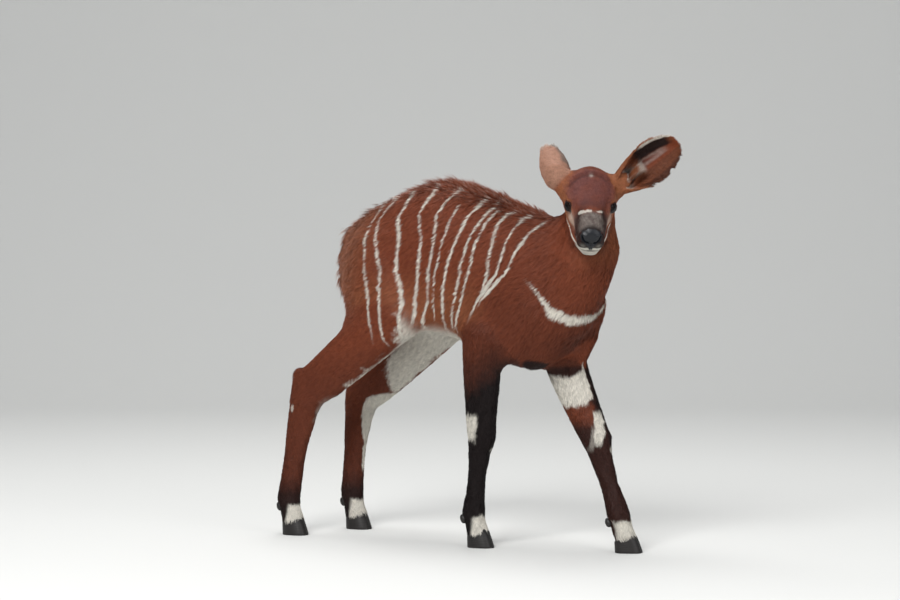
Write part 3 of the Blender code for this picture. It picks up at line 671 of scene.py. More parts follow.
def eyeball(side):
    """One eye: its surface, and the colour of each point by its angle from the line of sight."""
    mirror = np.array((1, side, 1))
    ways, faces = ball_rings(EYE_RINGS, EYE_ROUND)
    angle = np.degrees(np.arccos(np.clip(ways[:, 0], -1, 1)))
    radius = EYEBALL + CORNEA_RISE * np.exp(-((angle / CORNEA_WIDE) ** 2))
    out, fore, up = EYE_OUT * mirror, EYE_FORE * mirror, EYE_UP * mirror
    local = (ways @ np.stack([out, fore, up])) * radius[:, None]
    mesh = surface("eyeball", from_head(EYE * mirror + local), faces)
    level, tall = np.degrees(ways[:, 1]), np.degrees(ways[:, 2])
    pupil = ramp((level / PUPIL_WIDE) ** 2 + (tall / PUPIL_TALL) ** 2, 1.25, 0.8)
    rim = ramp(angle, IRIS, IRIS + 9)
    rays = 0.75 + 0.25 * np.sin(np.arctan2(ways[:, 2], ways[:, 1]) * IRIS_RAYS)
    iris = IRIS_COLOUR * rays[:, None] * (1.25 - angle[:, None] / 90)
    colour = iris * (1 - pupil[:, None]) + 0.001
    colour = colour * (1 - rim[:, None]) + RIM_COLOUR * rim[:, None]
    put_attribute(mesh, "colour", np.column_stack([colour, np.ones(len(colour))]), "FLOAT_COLOR")
    return mesh


eyes = {}
for name, side in (("left", 1), ("right", -1)):
    eyes[name] = new_object(f"eye_{name}_wet", eyeball(side))
    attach(eyes[name], "root")
    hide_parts(f"eye_{name}")
say("two eyes,", len(eyes["left"].data.vertices), "points each")

# %% [markdown]
# ## Claws
#
# A claw is a stack of half-round outlines from the sole up to the coronet, bowed on its outer
# side and flat in the cleft. Low ridges run round it, as horn grows in rings. The top goes on a
# little way up inside the hair.

# %% Claws and dewclaws
SOLE = -0.020  # in body coordinates
TOE, HEEL = 0.0250, 0.0215
TOE_FLARE, HEEL_FLARE, SIDE_FLARE, SOLE_SHIFT = 0.011, 0.002, 0.0025, 0.004
CLAW_WIDTH, CLEFT, CORONET_SLOPE = 0.0225, 0.0030, 0.30
DEWCLAW_PLACE, DEWCLAW_RADII, DEWCLAW_LEAN = (-0.0180, 0.0124, -0.0160), (0.0070, 0.0056, 0.0105), -28
HORN_LEVELS = np.array([0, 0.02, 0.06, *np.linspace(0.1, 1.0, 37), 1.06, 1.14, 1.24])
BOW_POINTS, CLEFT_POINTS = 34, 8
RIDGE, RIDGE_TURNS, SOLE_EDGE = 0.003, 44, 0.05
BOW_POWER, BOW_BACK = 0.8, 0.16  # how boxy the bow is, and how far its widest place lies back


def foot_ways(foot, outer):
    """Forward and outward for one claw of a foot."""
    turn = np.radians(foot.turn)
    return np.array((np.cos(turn), np.sin(turn), 0)), np.array((-np.sin(turn), np.cos(turn), 0)) * outer


def claw(foot, outer):
    """One claw, its outline bowed outwards by a sine and drawn in above the coronet."""
    forward, across = foot_ways(foot, outer)
    back = np.linspace(np.pi, 0, CLEFT_POINTS + 2)[1:-1]
    angle = np.concatenate([np.linspace(0, np.pi, BOW_POINTS), back])
    bowed = np.arange(len(angle)) < BOW_POINTS
    rings = []
    for level in HORN_LEVELS:
        flare, above = 1 - min(level, 1.0), max(level - 1, 0.0)
        grown = 1 + RIDGE * np.sin(level * RIDGE_TURNS) * ramp(level, 0.05, 0.2)
        grown = grown - SOLE_EDGE * ramp(level, 0.05, 0.0) - above
        reach = np.where(np.cos(angle) > 0, TOE + TOE_FLARE * flare**0.9, HEEL + HEEL_FLARE * flare)
        along = reach * np.cos(angle) * grown
        width = (CLAW_WIDTH + SIDE_FLARE * flare) * grown
        bow = (width - CLEFT / 2) * np.sin(angle) ** BOW_POWER * (1 - BOW_BACK * np.cos(angle))
        bow = CLEFT / 2 + bow
        aside = np.where(bowed, bow, CLEFT / 2)
        shift = SOLE_SHIFT * flare
        ring = np.array(foot.coronet) + forward * (along + shift)[:, None] + across * aside[:, None]
        top = foot.coronet[2] + CORONET_SLOPE * (along + shift)
        ring[:, 2] = SOLE + level * (top - SOLE)
        rings.append(ring)
    grid = np.arange(len(rings) * len(angle)).reshape(len(rings), len(angle))
    faces = [*ring_quads(grid), grid[0].tolist(), grid[-1].tolist()]
    return surface("claw", np.concatenate(rings) + START, faces)


def dewclaw(foot, outer):
    """A small leaning cone of horn behind the fetlock, ringed like the claws."""
    forward, across = foot_ways(foot, outer)
    ways, faces = ball_rings(18, 24)
    ways = ways[:, [1, 2, 0]]
    ringed = 1 + 0.03 * np.sin(ways[:, 2] * 16) - 0.12 * ways[:, 2]
    local = ways * np.array(DEWCLAW_RADII) * np.stack([ringed, ringed, np.ones(len(ways))], axis=1)
    lean = np.array(Matrix.Rotation(np.radians(DEWCLAW_LEAN), 3, "Y"))
    back, aside, down = DEWCLAW_PLACE
    place = np.array(foot.fetlock) + forward * back + across * aside + np.array((0, 0, down))
    return surface("dewclaw", local @ lean.T + place + START, faces)


horn_pieces = []
for name, foot in FEET.items():
    side = 1 if name.endswith("left") else -1
    for which, outer in (("inner", -side), ("outer", side)):
        for kind, make in (("hoof", claw), ("dewclaw", dewclaw)):
            piece = new_object(f"{kind}_{name}_{which}_horn", make(foot, outer))
            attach(piece, "root")
            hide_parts(f"{kind}_{name}_{which}")
            horn_pieces.append(piece)
say(len(horn_pieces), "pieces of horn")

# %% [markdown]
# ## The markings, as fields
#
# A bongo calf is chestnut, with a dozen thin cream stripes down each flank, a cream crescent on
# the chest, a broken chevron below the eyes, dark legs with white patches, near black in front,
# and a black nose. Each marking is a field: a number for every point, 1 inside and 0 outside,
# with a soft edge. Skin and hair ask the same fields, so that the two always agree.

# %% Stripes on the flanks
# Where a stripe crosses six rays from the barrel's axis, 30 to 130 degrees from straight up.
STRIPE_RAYS = (30, 50, 70, 90, 110, 130)
Stripe = namedtuple("Stripe", "crossings first last half_width")
STRIPES = (
    Stripe((-0.257, -0.272, -0.270, -0.255, -0.233, -0.216), 20, 121, 0.0021),
    Stripe((-0.222, -0.248, -0.241, -0.215, -0.203, -0.190), 20, 127, 0.0022),
    Stripe((-0.172, -0.188, -0.176, -0.176, -0.151, -0.157), 20, 134, 0.0036),
    Stripe((-0.110, -0.131, -0.113, -0.116, -0.125, -0.131), 20, 122, 0.0025),
    Stripe((-0.052, -0.080, -0.078, -0.087, -0.096, -0.122), 18, 137, 0.0025),
    Stripe((-0.027, -0.043, -0.053, -0.068, -0.081, -0.090), 40, 128, 0.0015),
    Stripe((0.022, -0.004, -0.021, -0.041, -0.054, -0.068), 22, 149, 0.0024),
    Stripe((0.055, 0.031, 0.009, -0.003, -0.023, -0.045), 28, 140, 0.0021),
    Stripe((0.072, 0.047, 0.030, 0.019, -0.003, -0.031), 36, 138, 0.0021),
    Stripe((0.096, 0.074, 0.070, 0.066, 0.045, 0.020), 26, 103, 0.0021),
    Stripe((0.134, 0.112, 0.103, 0.090, 0.036, 0.000), 22, 118, 0.0022),
    Stripe((0.175, 0.155, 0.133, 0.112, 0.044, 0.010), 26, 110, 0.0022),
)
BARREL_HEIGHT, BARREL_SQUASH, BARREL_REACH = 0.580, 1.9, 0.105


def girth(points):
    """Degrees round the barrel from straight up, the flanks stretched to a rounder shape."""
    _, y, z = (points - START).T
    return np.degrees(np.arctan2(np.abs(y) * BARREL_SQUASH, z - BARREL_HEIGHT))


def stripes(points):
    """1 on a stripe's middle line: each crosses its rays at given places, joined by lines."""
    x, y, _ = (points - START).T
    ray = girth(points)
    x = x + 0.0012 * ripples(points, 0.05, 21) - 0.006 * (y > 0) * np.sin(ray / 25)
    lit = np.zeros(len(points))
    step = 4.0
    for stripe in STRIPES:
        here, below = (np.interp(ray + more, STRIPE_RAYS, stripe.crossings) for more in (0, step))
        slant = np.hypot(1, (below - here) / (BARREL_REACH * np.radians(step)))
        within = ramp(ray, stripe.first - 4, stripe.first + 4)
        within = within * ramp(ray, stripe.last + 5, stripe.last - 7)
        half = stripe.half_width * (0.55 + 0.45 * within) * (1 + 0.18 * ripples(points, 0.06, 22))
        lit = np.maximum(lit, within * ramp(np.abs(x - here) / slant, half * 1.35, half * 0.75))
    return lit * ramp(x, -0.36, -0.30)


# %% Crescent, belly, legs and face
def crescent(points):
    """The chest's band: near a height that rises slowly from the middle and steeply at each side."""
    x, y, z = (points - START).T
    right = np.clip((-0.025 - y) / 0.055, 0, 1.3)
    left = np.clip((y + 0.021) / 0.100, 0, 1.3)
    middle = 0.481 + 0.028 * right**2 + 0.032 * right**8 + 0.012 * left + 0.035 * left**6
    half = np.interp(y, (-0.085, -0.078, -0.070, -0.02, 0.01, 0.06, 0.085),
                     (0.0030, 0.0075, 0.0095, 0.0090, 0.0065, 0.0050, 0.0025))
    half = half * (1 + 0.15 * ripples(points, 0.02, 23))
    band = ramp(np.abs(z - middle), half * 1.25, half * 0.85)
    return band * ramp(x, 0.15, 0.18) * ramp(np.maximum(right, left), 1.10, 1.0)


def side_of(points, part):
    """How far points lie forward and outward of a part's bone, both from -1 to 1."""
    path = np.array(part.path)
    passed = along_path(points, path)[2]
    start = path[0] + (path[-1] - path[0]) * passed[:, None]
    off = unit(points - start)
    side = 1 if part.name.endswith("left") else -1
    return off[:, 0], off[:, 1] * side


# %% Marks of the head
JAW_LINE = drawn(((-0.006, 0.0524, -0.0406), (0.018, 0.0480, -0.0460), (0.042, 0.0400, -0.0540),
                  (0.072, 0.0250, -0.0550)))
LIP_LINE = drawn(tuple((x + 0.001, y, z + 0.0032) for x, y, z in MOUTH))
CHEVRON = {
    -1: drawn(((0.046, 0.0290, 0.0148), (0.050, 0.0180, 0.0235), (0.053, 0.0080, 0.0275),
               (0.053, 0.0015, 0.0283))),
    1: drawn(((0.053, 0.0100, 0.0275), (0.050, 0.0200, 0.0240), (0.046, 0.0295, 0.0195))),
}
CHEVRON_WIDTH = {-1: 0.0030, 1: 0.0023}
TEAR = drawn(((0.016, 0.0385, 0.000), (0.024, 0.0360, -0.003), (0.031, 0.0340, -0.006)))
WHORL = np.array((-0.037, 0.0, 0.052))
EYE_MASK = 0.022


def on_line(points, line, half):
    """1 within half of a line, 0 well beyond it."""
    return ramp(along_path(points, line)[0], half * 1.35, half * 0.65)


def head_marks(points, normals, _):
    """Cream, dark, tan and mauve of head points, given in head coordinates."""
    flat = folded(points)
    x, y, z = flat.T
    side = np.where(points[:, 1] < 0, -1, 1)
    ragged = ripples(points, 0.012, 51) * 0.5 + ripples(points, 0.005, 52) * 0.5
    top = ramp(normals[:, 2], 0.05, 0.55)
    by_eye = np.linalg.norm(flat - EYE, axis=1) < EYE_MASK

    jaw = np.interp(x, (0.0, 0.026, 0.060), (0.0024, 0.0032, 0.0026)) + 0.0004 * ragged
    lip = np.interp(x, (0.050, 0.075, 0.090), (0.0022, 0.0038, 0.0058)) + 0.0004 * ragged
    chevron = [on_line(flat, line, CHEVRON_WIDTH[which] + 0.0014 * ragged) * (side == which)
               for which, line in CHEVRON.items()]
    chin = ramp(z, -0.0455, -0.0490) * ramp(x, 0.046, 0.058) * ramp(y, 0.032, 0.024)
    under_eye = np.clip(1.9 * spot(flat, (0.030, 0.034, -0.0146), (0.016, 0.024, 0.014)), 0, 1)
    bridge = ramp(x, 0.050, 0.060) * ramp(y + 0.003 * ragged, 0.031, 0.019)
    muzzle = ramp(x, 0.030, 0.052) * ramp(y, 0.012, 0.024) * ramp(z, -0.046, -0.040)
    muzzle = muzzle * (1 - under_eye)
    dome = np.hypot((x + 0.006) / 0.056, y / 0.056) + 0.10 * ragged
    mauve = top * ramp(dome, 1.20, 0.70) * (0.85 + 0.15 * ripples(points, 0.03, 53))

    cream = np.maximum.reduce([
        0.95 * on_line(flat, JAW_LINE, jaw),
        0.95 * on_line(flat, LIP_LINE, lip) * ramp(x, 0.050, 0.066),
        0.72 * chevron[0],
        0.72 * chevron[1],
        0.45 * spot(points, WHORL, (0.005, 0.004, 0.01)),
        0.80 * chin,
        0.40 * under_eye,
        0.30 * spot(flat, (0.094, 0.016, -0.029), (0.008, 0.006, 0.006)),
        (0.17 + 0.07 * ragged) * bridge * ramp(x, 0.092, 0.078),
    ])
    dark = np.maximum.reduce([
        0.74 * bridge * (1 + 0.3 * ramp(x, 0.078, 0.090)),
        0.84 * muzzle,
        0.85 * ramp(opening(flat), -17, -6) * by_eye,
        0.80 * on_line(flat, TEAR, 0.0028),
        on_line(flat, LINES["mouth"], 0.0012),
        # Painted shade in the forehead's fold.
        0.65 * near(flat, "fold of the forehead", 0.0024),
        0.28 * ramp(x, -0.050, -0.066) * top,
        # Painted shade under the chin and the low jaw, darker lower down.
        0.30 * ramp(z, -0.050, -0.064) * ramp(x, 0.050, 0.020),
        0.30 * mauve * ramp(x, 0.020, 0.040) * (1 - bridge),
    ])
    tan = np.maximum.reduce([
        0.70 * ramp(y, 0.030, 0.046) * ramp(z, -0.050, -0.030),
        under_eye,
        0.35 * chin,
    ])
    mauve = np.maximum.reduce([mauve, bridge, 0.6 * muzzle]) * (1 - under_eye)
    return np.stack([cream, dark, tan * (1 - mauve), mauve], axis=1)


# %% Marks of the ears
CUP_MIDDLE = {"left": 0.016, "right": 0.013}
RIM_BINS = np.linspace(0.0, 1.02, 25)


def ear_places(points, normals, name):
    """Along the ear 0 to 1, round the cup in radians from its back, and 1 on the inner side."""
    side = name.split("_")[1]
    ear = EARS[side]
    across = np.cross(ear.towards, ear.opening)
    off = points - ear.root
    wide, deep = off @ across, CUP_MIDDLE[side] - off @ ear.opening
    inner = -(normals @ across) * wide + (normals @ ear.opening) * deep > 0
    return off @ ear.towards / EAR_LENGTH, np.arctan2(wide, deep), inner.astype(float)


def rim_angles(name):
    """For each step along the ear, the widest angle that its skin reaches to either side."""
    points = to_head(read(skin.data, "co"))
    mine = memberships(from_head(points))[:, NAMES.index(name)] > 0.5
    along, angle, _ = ear_places(points[mine], np.zeros((int(mine.sum()), 3)), name)
    bins = np.digitize(along, RIM_BINS)
    low, high = [], []
    for number in range(len(RIM_BINS)):
        inside = angle[np.abs(bins - number) <= 1]
        low.append(np.percentile(inside, 1) if len(inside) > 8 else -1.5)
        high.append(np.percentile(inside, 99) if len(inside) > 8 else 1.5)
    return np.array(low), np.array(high)


RIMS = {name: rim_angles(name) for name in ("ear_left", "ear_right")}


def round_the_cup(along, angle, name):
    """From -1 on one rim through 0 at the cup's back to 1 on the other rim."""
    low, high = (np.interp(along, RIM_BINS, rim) for rim in RIMS[name])
    return np.where(angle < 0, -angle / low, angle / high)


def ear_marks(points, normals, name):
    """Cream, dark, tan and mauve of ear points. The left ear's lower rim is its positive one."""
    along, angle, inner = ear_places(points, normals, name)
    share = round_the_cup(along, angle, name)
    streaks = np.stack([share * 0.05, along * 0.02, 0 * share], axis=1)
    streaks = 0.5 + 0.5 * ripples(streaks, 0.009, 71)
    left = name == "ear_left"
    tip = ramp(along, 0.86, 0.97)
    dark_rim = ramp(share, 0.72, 0.92) if left else ramp(share, -0.26, -0.46)
    cavity = ramp(share, -0.16, -0.36) * ramp(along, 0.36, 0.50) * ramp(along, 0.97, 0.88)
    pale_skin = ramp(share, -0.32, -0.20) * ramp(share, 0.12, 0.0)
    pale_skin = pale_skin * ramp(along, 0.20, 0.34) * ramp(along, 0.90, 0.76)
    long_hair = ramp(share, -0.44, -0.30) * ramp(share, 0.40, 0.15) * ramp(along, 0.54, 0.40)
    pale_rim = ramp(share, -0.78, -0.88) * ramp(along, 0.50, 0.62)

    outer_cream = np.maximum(0.35 * tip, 0.14 * (not left))
    outer_dark = 0.70 * dark_rim * ramp(along, 0.30, 0.45)
    inner_cream = np.maximum.reduce([
        0.28 * pale_skin * (0.25 + 0.75 * streaks),
        0.80 * long_hair,
        0.9 * pale_rim,
        0.55 * ramp(along, 0.30, 0.16) * ramp(share, -0.46, -0.32),
    ])
    inner_dark = np.maximum.reduce([
        0.95 * cavity * (1 - pale_rim),
        0.7 * ramp(share, 0.55, 0.85) * ramp(along, 0.25, 0.40),
        0.42 * ramp(share, 0.15, 0.32) * ramp(along, 0.30, 0.45),
    ])
    edges = np.maximum(ramp(share, 0.1, 0.4), ramp(share, -0.4, -0.5))
    cream = inner * inner_cream + (1 - inner) * outer_cream
    dark = inner * inner_dark + (1 - inner) * outer_dark
    tan = 0.75 * (1 - inner) + 0.35 * inner * edges
    return np.stack([cream, dark, tan, 0.55 * inner * pale_skin], axis=1)


# %% All marks together
def pastern_patch(z, forward, ragged):
    """The white front of each foot, from the hoof up to the fetlock."""
    return ramp(z, 0.051 + 0.005 * ragged, 0.043 + 0.005 * ragged) * ramp(forward, -0.35, 0.10)


def between(values, low, high, soft):
    """1 from low to high, 0 beyond, with borders as wide as soft."""
    return ramp(values, low - soft / 2, low + soft / 2) * ramp(values, high + soft / 2, high - soft / 2)


def hind_leg_marks(points, share, side, ragged):
    """Cream and dark of a hind leg: pale inside, a pale strip down the hock, a pale pastern."""
    x, _, z = (points - START).T
    upper, lower = (PARTS[NAMES.index(f"{part}_hind_{side}")] for part in ("upper", "lower"))
    leg = share[upper.name] + share[lower.name]
    forward, outward = side_of(points, upper)
    facing = 0.80 * forward - 0.60 * outward + 0.18 * ragged
    inner = ramp(facing, 0.25, 0.55) * ramp(z, 0.288, 0.302) * ramp(forward, -0.5, 0.0)
    inner = inner * ramp(x + 0.006 * ragged, -0.330, -0.312)
    cream = inner * share[upper.name]
    forward, outward = side_of(points, lower)
    if side == "left":
        facing = 0.80 * forward + 0.60 * outward
        edge = np.interp(z, (0.113, 0.175, 0.200, 0.223, 0.262, 0.280, 0.300),
                         (0.72, 0.60, 0.20, 0.07, 0.12, 0.35, 0.90))
        strip = ramp(facing + 0.06 * ragged, edge - 0.08, edge + 0.08)
        strip = strip * between(z, 0.113, 0.300, 0.014)
        cream = np.maximum(cream, strip * ramp(outward, 0.85, 0.60) * leg)
    else:
        facing = 0.80 * forward - 0.60 * outward
        strip = 0.45 * ramp(facing + 0.1 * ragged, 0.62, 0.95) * between(z, 0.238, 0.294, 0.016)
        fleck = spot(points, body(-0.456, -0.115, 0.264), (0.006, 0.008, 0.010))
        cream = np.maximum(cream, np.maximum(strip, 0.7 * ramp(fleck, 0.3, 0.6)) * leg)
    cream = np.maximum(cream, pastern_patch(z, forward, ragged) * share[lower.name])
    deep = np.interp(z, (0.035, 0.070, 0.115, 0.200, 0.330, 0.420), (0.97, 0.90, 0.46, 0.32, 0.24, 0.0))
    return cream, leg * deep


def front_leg_marks(points, share, side, ragged):
    """Cream and dark of a fore leg: black, with white on the inside, at the knee and the pastern."""
    z = (points - START)[:, 2]
    upper, lower = (PARTS[NAMES.index(f"{part}_front_{side}")] for part in ("upper", "lower"))
    leg = share[upper.name] + share[lower.name]
    forward, outward = side_of(points, upper)
    front = 0.80 * forward + 0.60 * outward
    if side == "left":
        high = z + 0.020 * forward + 0.012 * ragged
        dark = (0.86 + 0.11 * ramp(front, 0.70, 0.95)) * ramp(high, 0.405, 0.385)
        edge = ramp(front, 0.74, 0.60) * ramp(outward, 0.35, 0.05)
        patch = edge * ramp(z + 0.004 * ragged, 0.296 + 0.012 * front, 0.304 + 0.012 * front)
        patch = patch * ramp(z - 0.004 * ragged, 0.376 + 0.018 * front, 0.366 + 0.018 * front)
        rust = ramp(front, 0.62, 0.30) * ramp(outward, 0.3, 0.0) * between(z, 0.252, 0.30, 0.03)
        dark = dark - 0.62 * rust - 0.40 * edge * ramp(z, 0.370, 0.380)
        middle = np.interp(z, (0.200, 0.213, 0.245, 0.277), (0.0, 0.10, 0.41, 0.58))
        leaf = ramp(np.abs(front - middle + 0.06 * ragged), 0.40, 0.28)
        leaf = leaf * between(z + 0.003 * ragged, 0.210, 0.279, 0.012)
        trail = 0.35 * ramp(np.abs(front - middle + 0.38), 0.30, 0.16) * between(z, 0.198, 0.245, 0.02)
        fleck = spot(points, body(0.277, 0.080, 0.198), (0.008, 0.010, 0.008))
        inside = np.where(outward < 0.45, 1.0, 0.0)
        cream = np.maximum.reduce([patch, leaf * inside, trail * inside, 0.7 * ramp(fleck, 0.3, 0.6)])
    else:
        high = z - 0.028 * (0.80 * forward - 0.60 * outward) + 0.012 * ragged
        dark = np.interp(high, (0.325, 0.352, 0.395, 0.450), (1.0, 0.86, 0.62, 0.34))
        facing = 0.86 * outward - 0.50 * forward
        patch = ramp(facing + 0.1 * ragged, 0.62, 0.84)
        patch = patch * between(z + 0.005 * ragged, 0.216, 0.270, 0.016)
        fleck = spot(points, body(0.039, -0.047, 0.197), (0.006, 0.008, 0.007))
        cream = np.maximum(patch, 0.6 * ramp(fleck, 0.3, 0.6))
    cream = cream * leg
    forward, outward = side_of(points, lower)
    cream = np.maximum(cream, pastern_patch(z, forward, ragged) * share[lower.name])
    return cream, leg * np.clip(dark, 0, 1)


def marks(points, normals):
    """Cream, dark, tan and mauve for each point, as columns of numbers from 0 to 1."""
    x, y, z = (points - START).T
    shares = memberships(points)
    share = dict(zip(NAMES, shares.T))
    ragged = ripples(points, 0.022, 31) * 0.5 + ripples(points, 0.009, 32) * 0.35
    belly = ramp(normals[:, 2], -0.50, -0.82) * ramp(z, 0.475, 0.435) * ramp(x, -0.32, -0.26)
    belly = belly * ramp(x, 0.02, -0.05) * ramp(np.abs(y), 0.09, 0.07) * (share["trunk"] > 0.3)
    cream = np.maximum.reduce([stripes(points), crescent(points), belly])

    shoulder = spot(points - START, (0.13, 0, 0.47), (0.13, 0.2, 0.10)) * share["trunk"]
    chest = spot(points - START, (0.25, 0, 0.42), (0.10, 0.12, 0.07)) * (share["trunk"] > 0.2)
    breastbone = spot(points - START, (0.130, 0, 0.384), (0.034, 0.05, 0.016)) * share["trunk"]
    # Painted shade: the neck is darkened where its skin faces down.
    painted_throat_shade = share["neck"] * ramp(normals[:, 2], 0.1, -0.5)
    dark = np.maximum.reduce([0.34 * shoulder, 0.50 * chest, 0.95 * ramp(breastbone, 0.15, 0.55),
                              0.60 * painted_throat_shade])

    front_of_neck = share["neck"] * ramp(normals[:, 0], -0.1, 0.6)
    low_flank = ramp(z, 0.60, 0.50) * ramp(x, -0.34, -0.26) * ramp(x, 0.08, 0.0) * share["trunk"]
    haunch = ramp(x, -0.20, -0.34) * ramp(z, 0.46, 0.54)
    tan = np.maximum.reduce([front_of_neck * 0.35, 0.45 * low_flank, 0.40 * haunch])

    for find in (hind_leg_marks, front_leg_marks):
        for side in ("left", "right"):
            leg_cream, leg_dark = find(points, share, side, ragged)
            cream, dark = np.maximum(cream, leg_cream), np.maximum(dark, leg_dark)
    found = np.stack([cream, dark, tan, np.zeros(len(points))], axis=1)
    for name, find in (("head", head_marks), ("ear_left", ear_marks), ("ear_right", ear_marks)):
        here = share[name] > 0.02
        if here.any():
            inside = find(to_head(points[here]), normals[here] @ HEAD_AXES, name)
            found[here] += (inside - found[here]) * ramp(share[name][here], 0.15, 0.85)[:, None]
    return np.clip(found, 0, 1)


# %% [markdown]
# ## The way the hair lies
#
# Hair runs from the nose over the poll, down the neck and back along the barrel, and down every
# leg. Each part's bone runs that way already, and on the barrel and neck a fixed direction is
# mixed in. The direction is then laid flat on the skin.

# %% Lie of the hair
BONE_SHARE, SWIRL, SWIRL_SIZE = 0.4, 0.16, 0.09


def lie(points, normals, shares):
    """Unit vectors in the skin: the parts' directions blended, minus the part along the normal."""
    ways = np.zeros_like(points)
    for share, part in zip(shares.T, PARTS):
        way = along_path(points, part.path)[1]
        if part.flow is not None:
            way = unit(BONE_SHARE * way + np.array(part.flow))
        ways += share[:, None] * way
    swirl = np.stack([ripples(points, SWIRL_SIZE, seed) for seed in (41, 42, 43)], axis=1)
    ways = ways + swirl * SWIRL
    return unit(ways - normals * (ways * normals).sum(axis=1, keepdims=True))


# %% [markdown]
# ## A tuft
#
# A tuft is a narrow blade: rows of two points and a tip. It leaves the skin, rises a little and
# then runs along it, as combed hair does. Its width swells to the middle and ends in a point.
# All tufts of a piece are worked out at once: tufts by points by three coordinates.

# %% Scattering roots and growing tufts
UV_PATCH = 0.003
CLUMP_SIZE, CLUMP_VEER, CLUMP_LIFT = 0.016, 0.13, 0.22
STRAY_VEER, STRAY_ROLL = 0.07, 0.35
ROOT_DEPTH = 0.0004
BLADE_WIDTH, BLADE_SWELL = 0.72, 0.9
Roots = namedtuple("Roots", "points normals shares lies")


def triangles_of(mesh):
    """Corner numbers of every triangle."""
    mesh.calc_loop_triangles()
    return read(mesh, "vertices", 3, "loop_triangles").astype(int)


def scattered(points, normals, corners, density, total, seed):
    """Random places on triangles, as many for each as its area times its density."""
    a, b, c = points[corners[:, 0]], points[corners[:, 1]], points[corners[:, 2]]
    areas = np.linalg.norm(np.cross(b - a, c - a), axis=1) / 2
    piled = np.cumsum(areas * density)
    random = np.random.default_rng(seed)
    drawn = (np.arange(total) + random.uniform(size=total)) / total * piled[-1]
    chosen = corners[np.searchsorted(piled, drawn)]
    u, v = random.uniform(size=(2, total))
    flip = u + v > 1
    u, v = np.where(flip, 1 - u, u), np.where(flip, 1 - v, v)
    weights = np.stack([1 - u - v, u, v], axis=1)
    at = (points[chosen] * weights[..., None]).sum(axis=1)
    up = unit((normals[chosen] * weights[..., None]).sum(axis=1))
    return at, up


def blades(roots, lengths, widths, lifts, rows, seed):
    """Points of all tufts, (tufts, 2 * rows + 1, 3): root rows first, the tip last."""
    random = np.random.default_rng(seed)
    count = len(roots.points)
    across = np.cross(roots.lies, roots.normals)
    sideways, upwards = (ripples(roots.points, CLUMP_SIZE, seed + more) for more in (1, 2))
    veer = CLUMP_VEER * sideways + random.normal(0, STRAY_VEER, count)
    roll = random.normal(0, STRAY_ROLL, count)
    lift = lifts * (1 + CLUMP_LIFT * upwards) * random.uniform(0.7, 1.3, count)
    flat = across * np.cos(roll)[:, None] + roots.normals * np.sin(roll)[:, None]
    places = []
    for t in np.linspace(0, 1, rows + 1):
        forward = roots.lies * (lengths * t)[:, None]
        aside = across * (lengths * veer * t**1.5)[:, None]
        height = lengths * lift * (1 - (1 - t) ** 2) - ROOT_DEPTH * (1 - t)
        middle = roots.points + forward + aside + roots.normals * height[:, None]
        half = (widths * (0.5 + BLADE_SWELL * t - BLADE_SWELL * t * t) * BLADE_WIDTH)[:, None]
        if t < 1:
            places += [middle - flat * half, middle + flat * half]
        else:
            places.append(middle)
    return np.stack(places, axis=1)


def blade_faces(rows):
    """Triangles of one tuft: two for each pair of rows and one for the tip."""
    faces = []
    for row in range(rows - 1):
        a = 2 * row
        faces += [(a, a + 1, a + 3), (a, a + 3, a + 2)]
    faces.append((2 * rows - 2, 2 * rows - 1, 2 * rows))
    return np.array(faces)


def triangle_mesh(name, points, faces):
    """A mesh from arrays of points and triangles."""
    mesh = bpy.data.meshes.new(name)
    mesh.vertices.add(len(points))
    mesh.vertices.foreach_set("co", points.astype(np.float32).ravel())
    mesh.loops.add(faces.size)
    mesh.loops.foreach_set("vertex_index", faces.astype(np.int32).ravel())
    mesh.polygons.add(len(faces))
    mesh.polygons.foreach_set("loop_start", np.arange(0, faces.size, 3, dtype=np.int32))
    mesh.update(calc_edges=True)
    return mesh


LOW_PLACE, HIGH_PLACE = 0.25, 0.82  # where along a hair its lower and upper rows ask for marks


def coat_piece(name, roots, lengths, widths, lifts, rows, unwrap, pale, seed):
    """A coat piece: blades on all roots, with their marks, their shade and the map OFBake.

    A hair shows only its outer half, so the marks are asked at two places, near the root for the
    lower rows and near the tip for the upper ones. pale adds cream to the tips.
    """
    random = np.random.default_rng(seed + 100)
    tufts = blades(roots, lengths, widths, lifts, rows, seed)
    count, corners = tufts.shape[:2]
    faces = (np.arange(count)[:, None, None] * corners + blade_faces(rows)).reshape(-1, 3)
    mesh = triangle_mesh(name, tufts.reshape(-1, 3), faces)
    height = np.append(np.repeat(np.linspace(0, 1, rows + 1)[:-1], 2), 1.0)
    low, high = (marks(roots.points + roots.lies * (lengths * t)[:, None], roots.normals)
                 for t in (LOW_PLACE, HIGH_PLACE))
    outer = height[None, :, None] > 0.45
    colour = np.where(outer, high[:, None], low[:, None])
    colour[..., 0] = np.maximum(colour[..., 0], pale[:, None] * ramp(height, 0.6, 1.0))
    put_attribute(mesh, "marks", colour.reshape(-1, 4), "FLOAT_COLOR")
    put_attribute(mesh, "along", np.tile(height, count))
    shade = 0.6 * random.normal(0, 0.5, count) + 0.4 * ripples(roots.points, 0.012, seed + 7)
    put_attribute(mesh, "shade", np.repeat(shade, corners))
    across = np.append(np.tile((-0.5, 0.5), rows), 0.0)
    patch = np.stack([across, height - 0.5], axis=1) * UV_PATCH
    uv = (unwrap[:, None] + patch).reshape(-1, 2)
    layer = mesh.uv_layers.new(name="OFBake")
    layer.data.foreach_set("uv", uv[faces.ravel()].astype(np.float32).ravel())
    piece = new_object(name, mesh)
    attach(piece, "root")
    say(name, count, "tufts,", len(faces), "triangles")
    return piece


# %% [markdown]
# ## The coat, piece by piece
#
# One mesh for the whole coat would be too heavy to handle, so each region is a piece of its own.
# Roots are thrown over the skin's triangles, more of them where hair is fine, and none where the
# hide is bare. The crest along the back is hair of nearly twice the length, and four in ten of
# its tufts have pale tips.

